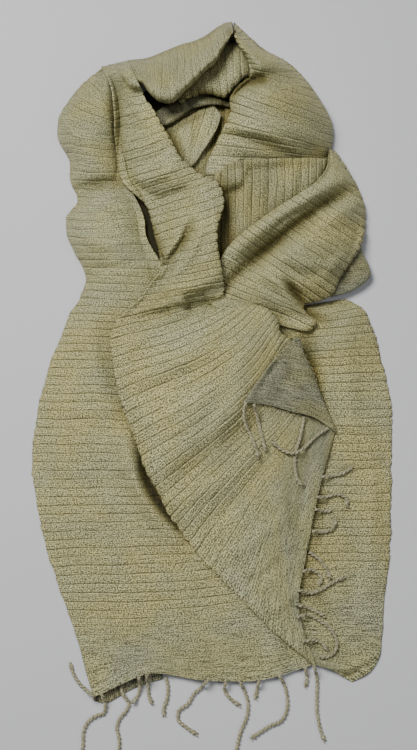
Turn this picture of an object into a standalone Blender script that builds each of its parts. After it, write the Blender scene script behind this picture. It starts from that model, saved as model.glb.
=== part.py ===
"""A hand-woven silk scarf with twisted fringes, dropped in a loose heap and lying on a table.

One length of crinkled cloth, about 350 mm by 1750 mm, is bunched into a loop at the far end. Both of
its tails lie towards the viewer: the lower tail is spread on the table, and the upper tail is turned to
the right on top of it, with one corner folded back. Each stretch of cloth that shows is one thin wall.
The layers that are hidden in the heap share one rounded solid.

Every place in the tables is in millimetres, in the view of somebody who looks down at the scarf from
EYE_DISTANCE at EYE_ELEVATION. across runs to the right and down runs towards that person, both measured
on the table, and height is the height above the table. The stretches are laid from the lowest to the
highest, and each one is lifted clear of what it lies on.
"""

import math
from collections import namedtuple

import bmesh
import bpy
import numpy as np

MM = 0.001

EYE_ELEVATION = math.radians(74)
EYE_DISTANCE = 1000
VIEW_ACROSS = 208.5
VIEW_DOWN = 375
ORIGIN = (4.24, 17.85)  # the middle of the scarf's outline, aside of and beyond the middle of the view

CLOTH = 1.6
CLEARANCE = 0.35
STEEPEST_WALL = 2.2  # how much a wall that stands up may be thickened along its height
RIB_PITCH = 8.7
RIB_HEIGHT = 0.9
SCALLOP = 0.8  # how far a selvedge bulges at each rib

FOLD_STEPS = 24
FOLD_TAPER = 0.12  # how far along their curve the ends of a fold have already faded
FINE_STEPS = 48
LIFT_ROUNDS = 6
TEST_STEP = 0.9  # how far apart the places are that are kept clear of the pile

LAYER_HEIGHT = 6
LAYER_SETBACK = 5

STRAND = 3.6
STRIP_GAP = 0.6
STRIP_WIDTH = 2.4
STRIP_STEP = 12
STRAND_STEP = 7.5
STRAND_REACH = 4  # how far round a strand the pile is searched for what carries it

# A section crosses the cloth from its left edge to its right edge, along a rib. left and right are
# (across, down, height). crown is how far the middle stands above the line between the edges, and puff
# is 0 for a flat arch and 1 for a round one. bows are how far the section bends along the cloth at its
# quarter, middle and three quarters. ribs is 1 where the cloth is ribbed and 0 where it is plain.
Section = namedtuple("Section", "left right crown puff bows ribs", defaults=(0, 0, (0, 0, 0), 1))

# A fold is a soft ridge, or a trough where its height is negative, along a curve by way of middle.
Fold = namedtuple("Fold", "start middle end width height")

# columns is how many cells lie across the cloth, and inside_step how many rows of the outside one row of
# the inside spans.
Stretch = namedtuple("Stretch", "name columns inside_step colour sections folds")

SAGE = (0.315, 0.290, 0.180)
SHADE = (0.235, 0.215, 0.130)
DEEP = (0.150, 0.135, 0.075)
PALE = (0.340, 0.310, 0.205)

HEAP_OUTLINE = (
    (132, 98), (150, 90), (172, 78), (212, 58), (246, 66), (284, 92), (308, 128), (316, 164),
    (334, 198), (338, 236), (322, 268), (286, 290), (240, 304), (196, 310), (160, 300),
    (140, 270), (132, 240), (126, 214), (116, 190), (114, 160), (120, 122),
)
HEAP_LAYERS = 3
HEAP_DOME = 7
DOME_RINGS = (0.35, 0.7, 0.95)

TURNED_HEM = Stretch("turned_hem", 3, 2, DEEP, (
    Section((94, 701, 2), (92, 684, 2), 0, 0, (0, 0, 0), 0),
    Section((106, 703, 2), (104, 684, 2), 0, 0, (0, 0, 0), 0),
    Section((118, 697, 2), (117, 678, 2), 0, 0, (0, 0, 0), 0),
    Section((132, 689, 2), (131, 672, 2), 0, 0, (0, 0, 0), 0),
    Section((148, 683, 2), (147, 666, 2), 0, 0, (0, 0, 0), 0),
    Section((163, 679, 2), (162, 666, 2), 0, 0, (0, 0, 0), 0),
), ())

LEFT_TAIL = Stretch("left_tail", 6, 2, SAGE, (
    Section((104, 68, 2), (112, 90, 12), 14, 0.8, (0, 0, 0), 0.3),
    Section((88, 80, 2), (116, 102, 8), 22, 0.85, (0, 0, 0), 0.5),
    Section((72, 97, 2), (118, 118, 6), 27, 0.85, (0, 0, 0), 0.7),
    Section((60, 116, 2), (118, 132, 5), 30, 0.85, (0, 0, 0), 0.6),
    Section((58, 138, 2), (119, 147, 4), 30, 0.85, (0, 0, 0), 0.6),
    Section((69, 160, 2), (122, 164, 4), 26, 0.85, (0, 0, 0), 0.7),
    Section((71, 182, 2), (127, 182, 4), 19, 0.8, (0, 0, 0), 0.7),
    Section((78, 200, 2), (136, 198, 6), 22, 0.85, (0, 0, 0), 0.6),
    Section((67, 218, 2), (144, 216, 7), 29, 0.85, (0, 0, 0), 0.6),
    Section((69, 240, 2), (147, 238, 7), 30, 0.85, (0, 0, 0), 0.7),
    Section((80, 262, 2), (160, 262, 6), 27, 0.85, (0, 0, 0), 0.7),
    Section((86, 279, 2), (168, 282, 5), 22, 0.8, (0, 0, 0), 0.8),
    Section((80, 298, 2), (178, 302, 4), 18, 0.7, (0, 0, 0), 0.9),
    Section((68, 320, 2), (192, 324, 3), 14, 0.6),
    Section((58, 345, 2), (212, 347, 2), 12, 0.5),
    Section((45, 385, 2), (226, 388, 2), 10, 0.5),
    Section((36, 430, 2), (240, 432, 2), 8, 0.5),
    Section((33, 470, 2), (252, 472, 2), 7, 0.5),
    Section((40, 515, 2), (264, 512, 2), 6, 0.4),
    Section((51, 560, 2), (280, 552, 2), 5, 0.4),
    Section((66, 605, 2), (294, 592, 2), 4, 0.4, (4, 4, 2)),
    Section((78, 642, 2), (304, 626, 2), 4, 0.4, (2, 3, 2), 0.2),
    Section((93, 697, 4), (315, 664, 4), 3, 0.3, (-15, 0, 8), 0),
), (
    Fold((72, 187), (96, 185), (120, 181), 5, -6),
    Fold((96, 200), (122, 192), (140, 206), 7, 4),
    Fold((126, 432), (138, 484), (176, 538), 9, 13),
    Fold((146, 450), (156, 490), (190, 536), 8, -18),
    Fold((104, 330), (108, 370), (128, 430), 10, -5),
    Fold((98, 700), (124, 690), (158, 672), 12, 10),
))

RIGHT_PANEL = Stretch("right_panel", 5, 4, SAGE, (
    Section((278, 309, 2), (345, 299, 2), 0, 0),
    Section((270, 320, 3), (360, 307, 2), 9, 0.8),
    Section((254, 341, 3), (373, 332, 2), 13, 0.7),
    Section((228, 372, 3), (382, 366, 2), 10, 0.6),
    Section((222, 402, 3), (389, 400, 2), 7, 0.5),
    Section((234, 440, 3), (391, 438, 2), 5, 0.4),
    Section((246, 480, 3), (390, 478, 2), 4, 0.4),
    Section((260, 520, 3), (390, 519, 2), 4, 0.4),
    Section((276, 562, 3), (388, 561, 2), 4, 0.4),
    Section((288, 604, 3), (384, 603, 2), 4, 0.4, (0, 0, 0), 0.3),
    Section((300, 636, 3), (382, 638, 2), 4, 0.4, (0, 0, 0), 0),
    Section((307, 652, 4), (379, 659, 2), 3, 0.4, (0, 0, 0), 0),
    Section((311, 660, 5), (368, 674, 2), 3, 0.4, (0, 0, 0), 0),
    Section((314, 664, 5), (352, 682, 2), 2, 0.3, (-1, -2, -1), 0),
), (
    Fold((304, 330), (312, 360), (318, 420), 12, -6),
    Fold((330, 312), (346, 322), (360, 340), 10, 3),
))

SIDE_CORNER = Stretch("side_corner", 4, 4, PALE, (
    Section((318, 226, 12), (361, 230, 8), 3, 0.4, (0, 0, 0), 0),
    Section((318, 245, 12), (362, 250, 9), 3, 0.4, (0, 0, 0), 0),
    Section((316, 262, 11), (369, 266, 10), 3, 0.4, (0, 0, 0), 0),
    Section((312, 278, 10), (370, 277, 10), 3, 0.4, (0, 0, 0), 0),
    Section((308, 290, 9), (352, 291, 9), 3, 0.4, (0, 0, 0), 0),
    Section((308, 297, 9), (332, 297, 9), 1, 0.4, (0, 0, 0), 0),
), ())

BACK_PLATE = Stretch("back_plate", 5, 4, SHADE, (
    Section((212, 262, 8), (214, 176, 35), 1, 0.3),
    Section((232, 254, 9), (231, 163, 38), 3, 0.3),
    Section((262, 240, 15), (262, 159, 39), 4, 0.3),
    Section((296, 224, 22), (296, 158, 36), 5, 0.3),
    Section((318, 208, 23), (318, 158, 30), 5, 0.4),
    Section((334, 192, 10), (332, 159, 14), 5, 0.6),
), (
    Fold((226, 186), (224, 215), (226, 250), 9, -5),
))

WINDOW_FLOOR = Stretch("window_floor", 5, 4, SAGE, (
    Section((160, 150, 12), (150, 116, 12), 0, 0),
    Section((176, 166, 18), (166, 112, 16), 3, 0),
    Section((188, 174, 24), (182, 106, 19), 4, 0),
    Section((200, 184, 29), (200, 100, 22), 4, 0),
    Section((214, 186, 33), (218, 96, 24), 4, 0),
    Section((230, 180, 36), (236, 94, 26), 3, 0),
), (
    Fold((224, 114), (214, 142), (194, 172), 4, -4),
    Fold((230, 120), (221, 143), (203, 178), 3, 3),
))

WINDOW_LEAF = Stretch("window_leaf", 4, 2, PALE, (
    Section((160, 140, 22), (166, 130, 25), 2, 0.4, (0, 0, 0), 0.4),
    Section((168, 150, 23), (176, 124, 28), 3, 0.4, (0, 0, 0), 0.8),
    Section((177, 160, 26), (189, 116, 30), 4, 0.4, (0, 0, 0), 0.8),
    Section((184, 166, 28), (202, 109, 31), 4, 0.4, (0, 0, 0), 0.8),
    Section((190, 168, 31), (213, 106, 33), 4, 0.4, (0, 0, 0), 0.8),
    Section((194, 164, 33), (221, 114, 35), 3, 0.4, (1, 3, 3), 0.4),
), (
    Fold((190, 116), (188, 138), (188, 160), 5, 2),
))

INNER_BAND = Stretch("inner_band", 4, 4, SHADE, (
    Section((163, 127, 26), (155, 112, 25), 5, 0.9, (0, 0, 0), 0),
    Section((171, 124, 27), (164, 106, 26), 6, 0.9, (0, 0, 0), 0),
    Section((180, 118, 28), (176, 100, 27), 6, 0.9, (0, 0, 0), 0),
    Section((189, 111, 29), (188, 95, 28), 6, 0.9, (0, 0, 0), 0),
    Section((200, 107, 29), (200, 90, 28), 4, 0.9, (0, 0, 0), 0),
    Section((214, 105, 28), (214, 88, 27), 3, 0.9, (0, 0, 0), 0),
    Section((230, 108, 28), (231, 90, 27), 2, 0.9, (0, 0, 0), 0),
), (
    Fold((166, 106), (172, 114), (178, 121), 3, -3),
    Fold((184, 97), (188, 104), (190, 111), 3, -3),
))

INNER_ROLL = Stretch("inner_roll", 5, 2, SAGE, (
    Section((179, 102, 34), (172, 92, 34), 3, 0.7),
    Section((190, 97, 36), (182, 80, 35), 6, 0.8),
    Section((200, 94, 37), (194, 68, 35), 9, 0.8),
    Section((212, 95, 38), (206, 56, 35), 11, 0.8),
    Section((224, 97, 38), (218, 48, 35), 12, 0.8),
    Section((233, 89, 39), (230, 44, 35), 12, 0.8),
    Section((243, 79, 39), (242, 44, 35), 11, 0.8),
    Section((256, 77, 36), (255, 48, 33), 8, 0.7),
), ())

RIGHT_CROWN = Stretch("right_crown", 7, 2, SAGE, (
    Section((235, 30, 48), (234.4, 22.3, 2), 6, 0.8),
    Section((237, 38, 52), (250, 37, 2), 20, 0.9),
    Section((240, 46, 53), (264, 50, 2), 28, 0.9),
    Section((246, 56, 52), (285, 61, 2), 32, 0.9),
    Section((251, 66, 47), (303, 77, 2), 36, 0.9),
    Section((250, 77, 42), (319, 98, 2), 38, 0.9),
    Section((240, 86, 46), (330, 118, 2), 38, 0.85),
    Section((230, 98, 48), (333, 133, 2), 37, 0.8),
    Section((231, 114, 47), (332, 145, 3), 34, 0.7),
    Section((224, 130, 45), (331, 152, 6), 25, 0.6),
    Section((214, 148, 41), (329, 158, 10), 17, 0.5),
    Section((207, 164, 34), (326, 165, 13), 9, 0.4, (0, 0, 0)),
    Section((206, 180, 25), (322, 172, 13), 5, 0.3, (0, -2, 0)),
), (
    Fold((254, 84), (268, 76), (296, 78), 8, -9),
    Fold((222, 134), (255, 142), (298, 158), 5, -4),
    Fold((222, 126), (258, 132), (300, 148), 5, 3),
    Fold((236, 48), (240, 40), (248, 32), 5, -4),
))

TOP_BAND = Stretch("top_band", 6, 4, SAGE, (
    Section((132, 82, 43), (116, 63, 2), 24, 0.85, (0, 0, 0), 0),
    Section((142, 84, 47), (130, 60, 2), 28, 0.85, (0, 0, 0), 0.2),
    Section((150, 94, 49), (147, 58, 2), 30, 0.85, (0, 0, 0), 0.5),
    Section((160, 102, 50), (160, 53, 2), 31, 0.85, (0, 0, 0), 0.6),
    Section((172, 103, 50), (172, 48, 2), 32, 0.85, (0, 0, 0), 0.6),
    Section((183, 93, 51), (182, 44, 2), 32, 0.85, (0, 0, 0), 0.7),
    Section((195, 82, 52), (191, 42, 2), 32, 0.85, (0, 0, 0), 0.7),
    Section((206, 71, 54), (201, 38, 2), 32, 0.85, (0, 0, 0), 0.7),
    Section((216, 61, 56), (209, 34, 2), 31, 0.85, (0, 0, 0), 0.7),
    Section((222, 50, 58), (216, 29, 2), 29, 0.85, (0, 0, 0), 0.7),
    Section((228, 41, 57), (224, 24, 2), 24, 0.85, (0, 0, 0), 0.7),
    Section((233, 32, 54), (231.8, 22, 2), 14, 0.8, (0, 0, 0), 0.7),
), (
    Fold((216, 48), (226, 38), (238, 28), 6, -4),
    Fold((140, 66), (165, 62), (190, 52), 8, 3),
))

DIAGONAL_ROLL = Stretch("diagonal_roll", 8, 4, SAGE, (
    Section((329, 148, 14), (335, 151, 2), 3, 0.7),
    Section((328, 157, 20), (346, 168, 2), 9, 0.75),
    Section((326, 168, 25), (357, 187, 2), 14, 0.8),
    Section((315, 182, 30), (364, 212, 2), 18, 0.8),
    Section((296, 195, 32), (362, 240, 6), 20, 0.7),
    Section((277, 207, 33), (355, 256, 14), 20, 0.6),
    Section((257, 221, 34), (341, 274, 18), 18, 0.5),
    Section((240, 234, 34), (331, 294, 14), 17, 0.5),
    Section((231, 243, 33), (316, 301, 12), 15, 0.45),
    Section((224, 252, 31), (306, 304, 13), 12, 0.4),
    Section((218, 262, 28), (303, 308, 16), 9, 0.4),
    Section((213, 272, 24), (307, 314, 17), 8, 0.4),
    Section((209, 282, 19), (316, 322, 13), 8, 0.45),
    Section((208, 290, 15), (309, 331, 10), 8, 0.5),
    Section((212, 298, 12), (290, 328, 10), 5, 0.4),
    Section((222, 306, 10), (268, 322, 11), 2, 0.3),
), (
    Fold((350, 192), (288, 232), (220, 294), 10, -22),
    Fold((342, 180), (284, 210), (220, 258), 9, 8),
    Fold((348, 250), (332, 268), (318, 282), 6, 3),
    Fold((276, 280), (292, 300), (312, 322), 6, 9),
    Fold((262, 308), (282, 318), (304, 334), 6, -4),
    Fold((287, 282), (296, 294), (305, 307), 5, -9),
))

UPPER_TAIL = Stretch("upper_tail", 7, 2, SAGE, (
    Section((101, 67, 2), (127, 60.5, 2), 2, 0.4, (0, 0, 0), 0),
    Section((103, 70, 13), (129, 63, 24), 4, 0.5, (0, 0, 0), 0),
    Section((105, 74, 19), (132, 68, 42), 4, 0.5, (0, 0, 0), 0),
    Section((109, 82, 17), (136, 77, 49), 4, 0.5, (0, 0, 0), 0),
    Section((112, 92, 13), (140, 86, 50), 5, 0.5, (0, 0, 0), 0.3),
    Section((113, 103, 10), (143, 96, 49), 6, 0.5, (0, 0, 0), 1),
    Section((114, 117, 8), (150, 107, 49), 8, 0.6, (0, 0, 0), 1.4),
    Section((114, 134, 7), (159, 121, 50), 10, 0.6, (0, 0, 0), 1.5),
    Section((116, 152, 7), (168, 137, 50), 12, 0.6, (0, 0, 0), 1.5),
    Section((118, 170, 7), (177, 153, 49), 14, 0.6, (0, 0, 0), 1.5),
    Section((123, 184, 7), (187, 165, 48), 15, 0.6, (0, 0, 0), 1.4),
    Section((136, 196, 8), (202, 176, 47), 14, 0.6, (0, 0, 0), 1.3),
    Section((147, 208, 7), (217, 184, 46), 13, 0.6, (0, 0, 0), 1.3),
    Section((151, 222, 7), (223, 200, 45), 12, 0.6, (0, 0, 0), 1.3),
    Section((155, 238, 7), (220, 216, 45), 12, 0.6, (0, 0, 0), 1.3),
    Section((159, 253, 7), (216, 236, 45), 13, 0.6, (0, 0, 0), 1.3),
    Section((160, 269, 9), (219, 254, 43), 13, 0.6, (0, 0, 0), 1.2),
    Section((150, 284, 9), (222, 270, 38), 12, 0.5, (0, 0, 0), 1.2),
    Section((138, 299, 8), (223, 284, 31), 10, 0.4),
    Section((122, 314, 7), (222, 294, 20), 5, 0.3),
    Section((113, 327, 6), (224, 298, 15), 1, 0.3),
    Section((110, 340, 6), (232, 300, 18), 4, 0.3, (2, 3, 2)),
    Section((112, 355, 7), (244, 303, 24), 10, 0.4, (4, 6, 5)),
    Section((115, 377, 8), (257, 305, 27), 13, 0.4, (5, 10, 9)),
    Section((120, 400, 9), (268, 310, 28), 14, 0.4, (6, 12, 11)),
    Section((129, 425, 12), (276, 318, 28), 13, 0.4, (7, 13, 12)),
    Section((139, 450, 17), (280, 332, 26), 12, 0.4, (8, 14, 12)),
    Section((150, 477, 18), (290, 341, 23), 11, 0.4, (6, 13, 12)),
    Section((160, 496, 16), (300, 348, 20), 10, 0.4, (4, 11, 11)),
    Section((171, 516, 12), (307, 360, 17), 9, 0.4, (2, 8, 10)),
    Section((186, 537, 8), (314, 375, 14), 8, 0.4, (2, 5, 9)),
    Section((208, 565, 6), (320, 392, 12), 8, 0.4, (0, 1, 6), 0.8),
    Section((239, 597, 5), (325, 408, 11), 8, 0.4, (-2, -4, 0), 0.2),
    Section((271, 630, 5), (330, 420, 10), 8, 0.4, (-8, -14, -8), 0),
    Section((316, 667, 6), (335, 433, 9), 5, 0.3, (-22, -18, -11), 0),
), (
    Fold((194, 222), (182, 244), (164, 266), 4, -7),
    Fold((116, 345), (118, 385), (134, 430), 7, -4),
    Fold((206, 196), (214, 212), (216, 236), 6, 3),
    Fold((168, 492), (208, 450), (252, 424), 13, -8),
    Fold((150, 372), (190, 356), (240, 340), 18, 5),
    Fold((200, 470), (226, 420), (246, 360), 12, 4),
    Fold((262, 312), (274, 322), (279, 345), 5, 5),
    Fold((150, 470), (176, 506), (214, 556), 7, 4),
    Fold((250, 560), (282, 600), (306, 650), 9, 3),
))

CORNER_FLAP = Stretch("corner_flap", 5, 4, SHADE, (
    Section((293, 338, 26), (300, 337, 25), 1, 0.4, (0, 0, 0), 0),
    Section((284, 347, 29), (304, 352, 23), 3, 0.5, (0, 0, 0), 0),
    Section((270, 363, 30), (313, 372, 18), 5, 0.5, (0, 0, 0), 0),
    Section((256, 382, 28), (322, 396, 15), 6, 0.5, (0, 0, 0), 0),
    Section((243, 402, 25), (337, 432, 13), 6, 0.5, (-5, -6, -7), 0),
), (
    Fold((286, 348), (270, 366), (250, 396), 3, 3),
    Fold((276, 402), (286, 385), (296, 352), 6, -2),
))

# Laid in this order, from the table upwards.
STRETCHES = (
    TURNED_HEM, LEFT_TAIL, RIGHT_PANEL, SIDE_CORNER, WINDOW_FLOOR, WINDOW_LEAF, INNER_BAND, INNER_ROLL,
    RIGHT_CROWN, BACK_PLATE, TOP_BAND, DIAGONAL_ROLL, UPPER_TAIL, CORNER_FLAP,
)


Fringe = namedtuple("Fringe", "name hem_of strands")

# Each strand runs through (across, down), from its root on the hem to its end.
FRINGES = (
    Fringe("fringe_lower", "left_tail", (
        ((94, 697), (87, 691), (79, 683), (73, 673), (70, 662)),
        ((101, 693), (105, 703), (104, 713), (96, 716), (89, 721), (84, 730), (83, 744), (80, 774)),
        ((120, 686), (124, 696), (129, 703), (126, 711), (120, 718), (117, 728), (119, 738), (116, 772)),
        ((139, 677), (140, 688), (137, 697), (131, 704)),
        ((147, 675), (148, 686), (149, 696), (153, 705)),
        ((166, 677), (168, 688), (167, 699), (164, 708), (164, 717)),
        ((209, 679), (202, 687), (194, 694), (188, 704), (179, 711), (178, 719), (186, 727), (198, 735)),
        ((226, 680), (225, 691), (232, 700), (241, 706)),
        ((239, 680), (245, 692), (248, 703), (247, 716), (241, 731), (237, 748), (234, 766)),
        ((260, 679), (257, 690), (255, 700)),
        ((279, 675), (284, 684), (287, 696), (287, 709), (281, 721), (270, 726), (259, 733), (250, 739)),
        ((305, 667), (307, 678), (305, 688)),
        ((314, 665), (317, 678), (317, 694), (317, 711), (320, 728), (325, 742)),
    )),
    Fringe("fringe_upper", "upper_tail", (
        ((302, 642), (312, 640), (322, 643), (328, 651)),
        ((297, 617), (308, 615), (319, 620), (329, 628), (336, 638), (336, 649), (329, 656), (318, 657)),
        ((295, 604), (306, 607), (317, 612), (326, 617)),
        ((298, 590), (310, 593), (322, 589), (333, 582), (346, 576)),
        ((303, 571), (313, 570), (321, 577), (319, 586)),
        ((309, 552), (318, 558), (326, 568), (331, 580)),
        ((312, 531), (322, 532), (332, 529), (336, 519)),
        ((315, 509), (324, 511), (333, 510)),
        ((316, 497), (326, 497), (337, 494), (346, 498), (347, 508)),
        ((321, 477), (332, 476), (343, 473), (353, 466)),
    )),
    Fringe("fringe_corner", "corner_flap", (
        ((246, 402), (244, 414), (247, 427), (252, 438), (256, 449), (259, 459)),
        ((254, 404), (257, 415), (260, 428), (263, 441), (266, 452)),
        ((304, 417), (302, 429), (299, 441), (295, 455), (295, 467), (297, 478), (303, 487)),
        ((328, 428), (319, 434), (312, 440), (304, 448), (295, 453), (286, 452), (278, 447), (272, 440)),
    )),
)


def table_points(places):
    """World points, in metres, of places given as (across, down, height) in the eye's view."""
    across, down, height = np.moveaxis(np.asarray(places, float), -1, 0)
    rise, reach = math.sin(EYE_ELEVATION), math.cos(EYE_ELEVATION)
    eye_back, eye_up = EYE_DISTANCE * reach, EYE_DISTANCE * rise
    aside = across - VIEW_ACROSS
    away = (VIEW_DOWN - down) * rise
    up = (VIEW_DOWN - down) * reach
    share = (height - eye_up) / (up - eye_up)
    x = share * aside - ORIGIN[0]
    y = share * (away + eye_back) - eye_back - ORIGIN[1]
    return np.stack([x, y, height], axis=-1) * MM


def smooth_through(places, values, wanted):
    """A smooth curve through the values at the places, read where it is wanted."""
    places, values, wanted = (np.asarray(a, float) for a in (places, values, wanted))
    slopes = np.gradient(values, places, axis=0)
    left = np.clip(np.searchsorted(places, wanted, side="right") - 1, 0, len(places) - 2)
    span = (places[left + 1] - places[left])[:, None]
    t = (wanted - places[left])[:, None] / span
    return (
        (2 * t**3 - 3 * t**2 + 1) * values[left]
        + (t**3 - 2 * t**2 + t) * span * slopes[left]
        + (3 * t**2 - 2 * t**3) * values[left + 1]
        + (t**3 - t**2) * span * slopes[left + 1]
    )


def fold_relief(across, down, folds):
    """How far the folds lift or sink the cloth at each place."""
    relief = np.zeros_like(across)
    t = np.linspace(0, 1, FOLD_STEPS)
    for fold in folds:
        start, middle, end = (np.array(at, float)[:, None] for at in (fold.start, fold.middle, fold.end))
        curve = (1 - t) * (1 - 2 * t) * start + 4 * t * (1 - t) * middle + t * (2 * t - 1) * end
        gaps = np.hypot(across[..., None] - curve[0], down[..., None] - curve[1])
        nearest = gaps.argmin(axis=-1)
        fade = np.sin(np.pi * (FOLD_TAPER + (1 - 2 * FOLD_TAPER) * t))[nearest]
        relief += fold.height * fade * np.exp(-((gaps.min(axis=-1) / fold.width) ** 2))
    return relief


def sections_between(stretch):
    """The stretch's own sections, filled in to one for each crest and each groove of its ribs."""
    table = np.array([(*s.left, *s.right, s.crown, s.puff, *s.bows, s.ribs) for s in stretch.sections], float)
    left_steps = np.linalg.norm(np.diff(table[:, 0:3], axis=0), axis=1)
    right_steps = np.linalg.norm(np.diff(table[:, 3:6], axis=0), axis=1)
    run = np.concatenate([[0], np.cumsum((left_steps + right_steps) / 2)])
    step = stretch.inside_step
    half_ribs = step * max(1, round(2 * run[-1] / RIB_PITCH / step))
    return smooth_through(run, table, np.linspace(0, run[-1], half_ribs + 1))


def cloth_surface(stretch):
    """A grid of (across, down, height), and the rib relief of each of its rows."""
    rows = sections_between(stretch)
    left, right = rows[:, None, 0:3], rows[:, None, 3:6]
    crown, puff = rows[:, None, 6], np.clip(rows[:, None, 7], 0, 0.95)
    crest = np.arange(len(rows)) % 2 * np.clip(rows[:, 11], 0, 1)

    chord = right[..., :2] - left[..., :2]
    chord = chord / np.linalg.norm(chord, axis=-1, keepdims=True)
    left, right = left.copy(), right.copy()
    left[..., :2] -= chord * SCALLOP * crest[:, None, None]
    right[..., :2] += chord * SCALLOP * crest[:, None, None]

    u = 0.5 - 0.5 * np.cos(np.linspace(0, np.pi, FINE_STEPS + 1))
    surface = left + (right - left) * u[:, None]
    bend = rows[:, 8:11] @ smooth_through((0, 0.25, 0.5, 0.75, 1), np.eye(5), u)[:, 1:4].T
    surface[..., 0] -= bend * chord[..., 1]
    surface[..., 1] += bend * chord[..., 0]
    surface[..., 2] += crown * (4 * u * (1 - u)) ** (1 - puff / 2)
    surface[..., 2] += fold_relief(surface[..., 0], surface[..., 1], stretch.folds)
    surface[..., 2] = np.maximum(surface[..., 2], CLOTH)
    return spread_evenly(surface, stretch.columns), crest * RIB_HEIGHT


def spread_evenly(surface, columns):
    """The same rows with their points at even steps along the cloth."""
    steps = np.linalg.norm(np.diff(table_points(surface), axis=1), axis=2)
    length = np.concatenate([np.zeros((len(surface), 1)), np.cumsum(steps, axis=1)], axis=1)
    even = np.empty((len(surface), columns + 1, 3))
    for row in range(len(surface)):
        wanted = np.linspace(0, length[row, -1], columns + 1)
        for axis in range(3):
            even[row, :, axis] = np.interp(wanted, length[row], surface[row, :, axis])
    return even


def refined(grid, row_cuts, column_cuts):
    """The grid with each cell cut into smaller ones, all on the cell's own surface."""
    for axis, cuts in ((0, row_cuts), (1, column_cuts)):
        grid = np.moveaxis(grid, axis, 0)
        at = np.arange((len(grid) - 1) * cuts + 1) / cuts
        low = np.minimum(at.astype(int), len(grid) - 2)
        share = (at - low).reshape(-1, *[1] * (grid.ndim - 1))
        grid = np.moveaxis(grid[low] * (1 - share) + grid[low + 1] * share, 0, axis)
    return grid


def widest_cut(grid, axis):
    """How many cuts bring the grid's cells under TEST_STEP along one axis."""
    return math.ceil(np.linalg.norm(np.diff(grid[..., :2], axis=axis), axis=-1).max() / TEST_STEP) + 1


def neighbours(grid):
    """The grid and its eight shifted copies, stacked."""
    padded = np.pad(grid, 1, mode="edge")
    high, wide = grid.shape
    return np.stack([padded[r:r + high, c:c + wide] for r in range(3) for c in range(3)])


class Pile:
    """The height of everything that is laid so far, on a grid of one millimetre in the eye's view."""

    def __init__(self, across=460, down=900):
        self.top = np.zeros((down, across))
        self.wide = self.top

    def add(self, grid):
        fine = refined(grid, widest_cut(grid, 0), widest_cut(grid, 1)).reshape(-1, 3)
        place = np.rint(fine[:, :2]).astype(int)
        np.maximum.at(self.top, (place[:, 1], place[:, 0]), fine[:, 2])
        self.wide = neighbours(self.top).max(axis=0)

    def lift_for(self, grid):
        """How far each point of the grid has to rise for its cells to clear the pile."""
        cuts = widest_cut(grid, 0), widest_cut(grid, 1)
        fine = refined(grid, *cuts)
        place = np.rint(fine[..., :2]).astype(int)
        below = self.wide[place[..., 1], place[..., 0]]
        short = np.where(below > 0, below + CLEARANCE - fine[..., 2], 0)
        cells_down, cells_across = grid.shape[0] - 1, grid.shape[1] - 1
        worst = np.zeros((cells_down, cells_across))
        for r in range(cuts[0] + 1):
            for c in range(cuts[1] + 1):
                part = short[r:r + (cells_down - 1) * cuts[0] + 1:cuts[0],
                             c:c + (cells_across - 1) * cuts[1] + 1:cuts[1]]
                worst = np.maximum(worst, part)
        corners = np.pad(worst, 1)
        return np.max([corners[:-1, :-1], corners[:-1, 1:], corners[1:, :-1], corners[1:, 1:]], axis=0)


def wall_below(surface, step):
    """The inside of the cloth: one row for each step of the outside, one thickness under the surface."""
    down_run, across_run = np.gradient(surface, axis=0), np.gradient(surface, axis=1)
    normal = np.cross(down_run, across_run)
    upright = np.abs(normal[..., 2]) / np.linalg.norm(normal, axis=-1)
    inside = surface.copy()
    inside[..., 2] -= CLOTH * np.minimum(1 / np.maximum(upright, 1e-3), STEEPEST_WALL)
    inside[..., 2] = np.maximum(inside[..., 2], 0)
    return inside[::step]


def settled(surface, step, pile):
    """The surface lifted until its inside clears the pile, with the lift spread to its neighbours."""
    surface = surface.copy()
    for _ in range(LIFT_ROUNDS):
        lift = np.maximum(pile.lift_for(wall_below(surface, step)), 0)
        if lift.max() < 0.01:
            break
        lift = refined(lift[..., None], step, 1)[..., 0]
        surface[..., 2] += neighbours(neighbours(lift).max(axis=0)).mean(axis=0)
    return surface


def material(name, colour, roughness=0.75):
    made = bpy.data.materials.new(name)
    made.use_nodes = True
    shader = made.node_tree.nodes["Principled BSDF"]
    shader.inputs["Base Color"].default_value = (*colour, 1)
    shader.inputs["Roughness"].default_value = roughness
    shader.inputs["Metallic"].default_value = 0
    return made


def add_object(name, points, faces, colour):
    """A named object from world points and faces, with its faces turned outwards."""
    mesh = bpy.data.meshes.new(name)
    mesh.from_pydata([tuple(point) for point in points], [], faces)
    work = bmesh.new()
    work.from_mesh(mesh)
    bmesh.ops.recalc_face_normals(work, faces=work.faces)
    work.to_mesh(mesh)
    work.free()
    mesh.materials.append(material(name, colour))
    made = bpy.data.objects.new(name, mesh)
    bpy.context.collection.objects.link(made)
    return made


def wall_faces(rows, columns, step):
    """The faces of a wall: its outside, its inside with one row for each step, and its rim."""
    def outside(r, c):
        return r * columns + c

    def inside(r, c):
        return rows * columns + r * columns + c

    faces = []
    for r in range(rows - 1):
        for c in range(columns - 1):
            faces.append((outside(r, c), outside(r + 1, c), outside(r + 1, c + 1), outside(r, c + 1)))
    last = (rows - 1) // step
    for r in range(last):
        for c in range(columns - 1):
            faces.append((inside(r, c), inside(r, c + 1), inside(r + 1, c + 1), inside(r + 1, c)))
        for c in (0, columns - 1):
            edge = [outside(step * r + k, c) for k in range(step + 1)] + [inside(r + 1, c), inside(r, c)]
            faces.append(edge if c else edge[::-1])
    for c in range(columns - 1):
        faces.append((outside(0, c), outside(0, c + 1), inside(0, c + 1), inside(0, c)))
        faces.append((outside(rows - 1, c + 1), outside(rows - 1, c), inside(last, c), inside(last, c + 1)))
    return faces


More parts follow.
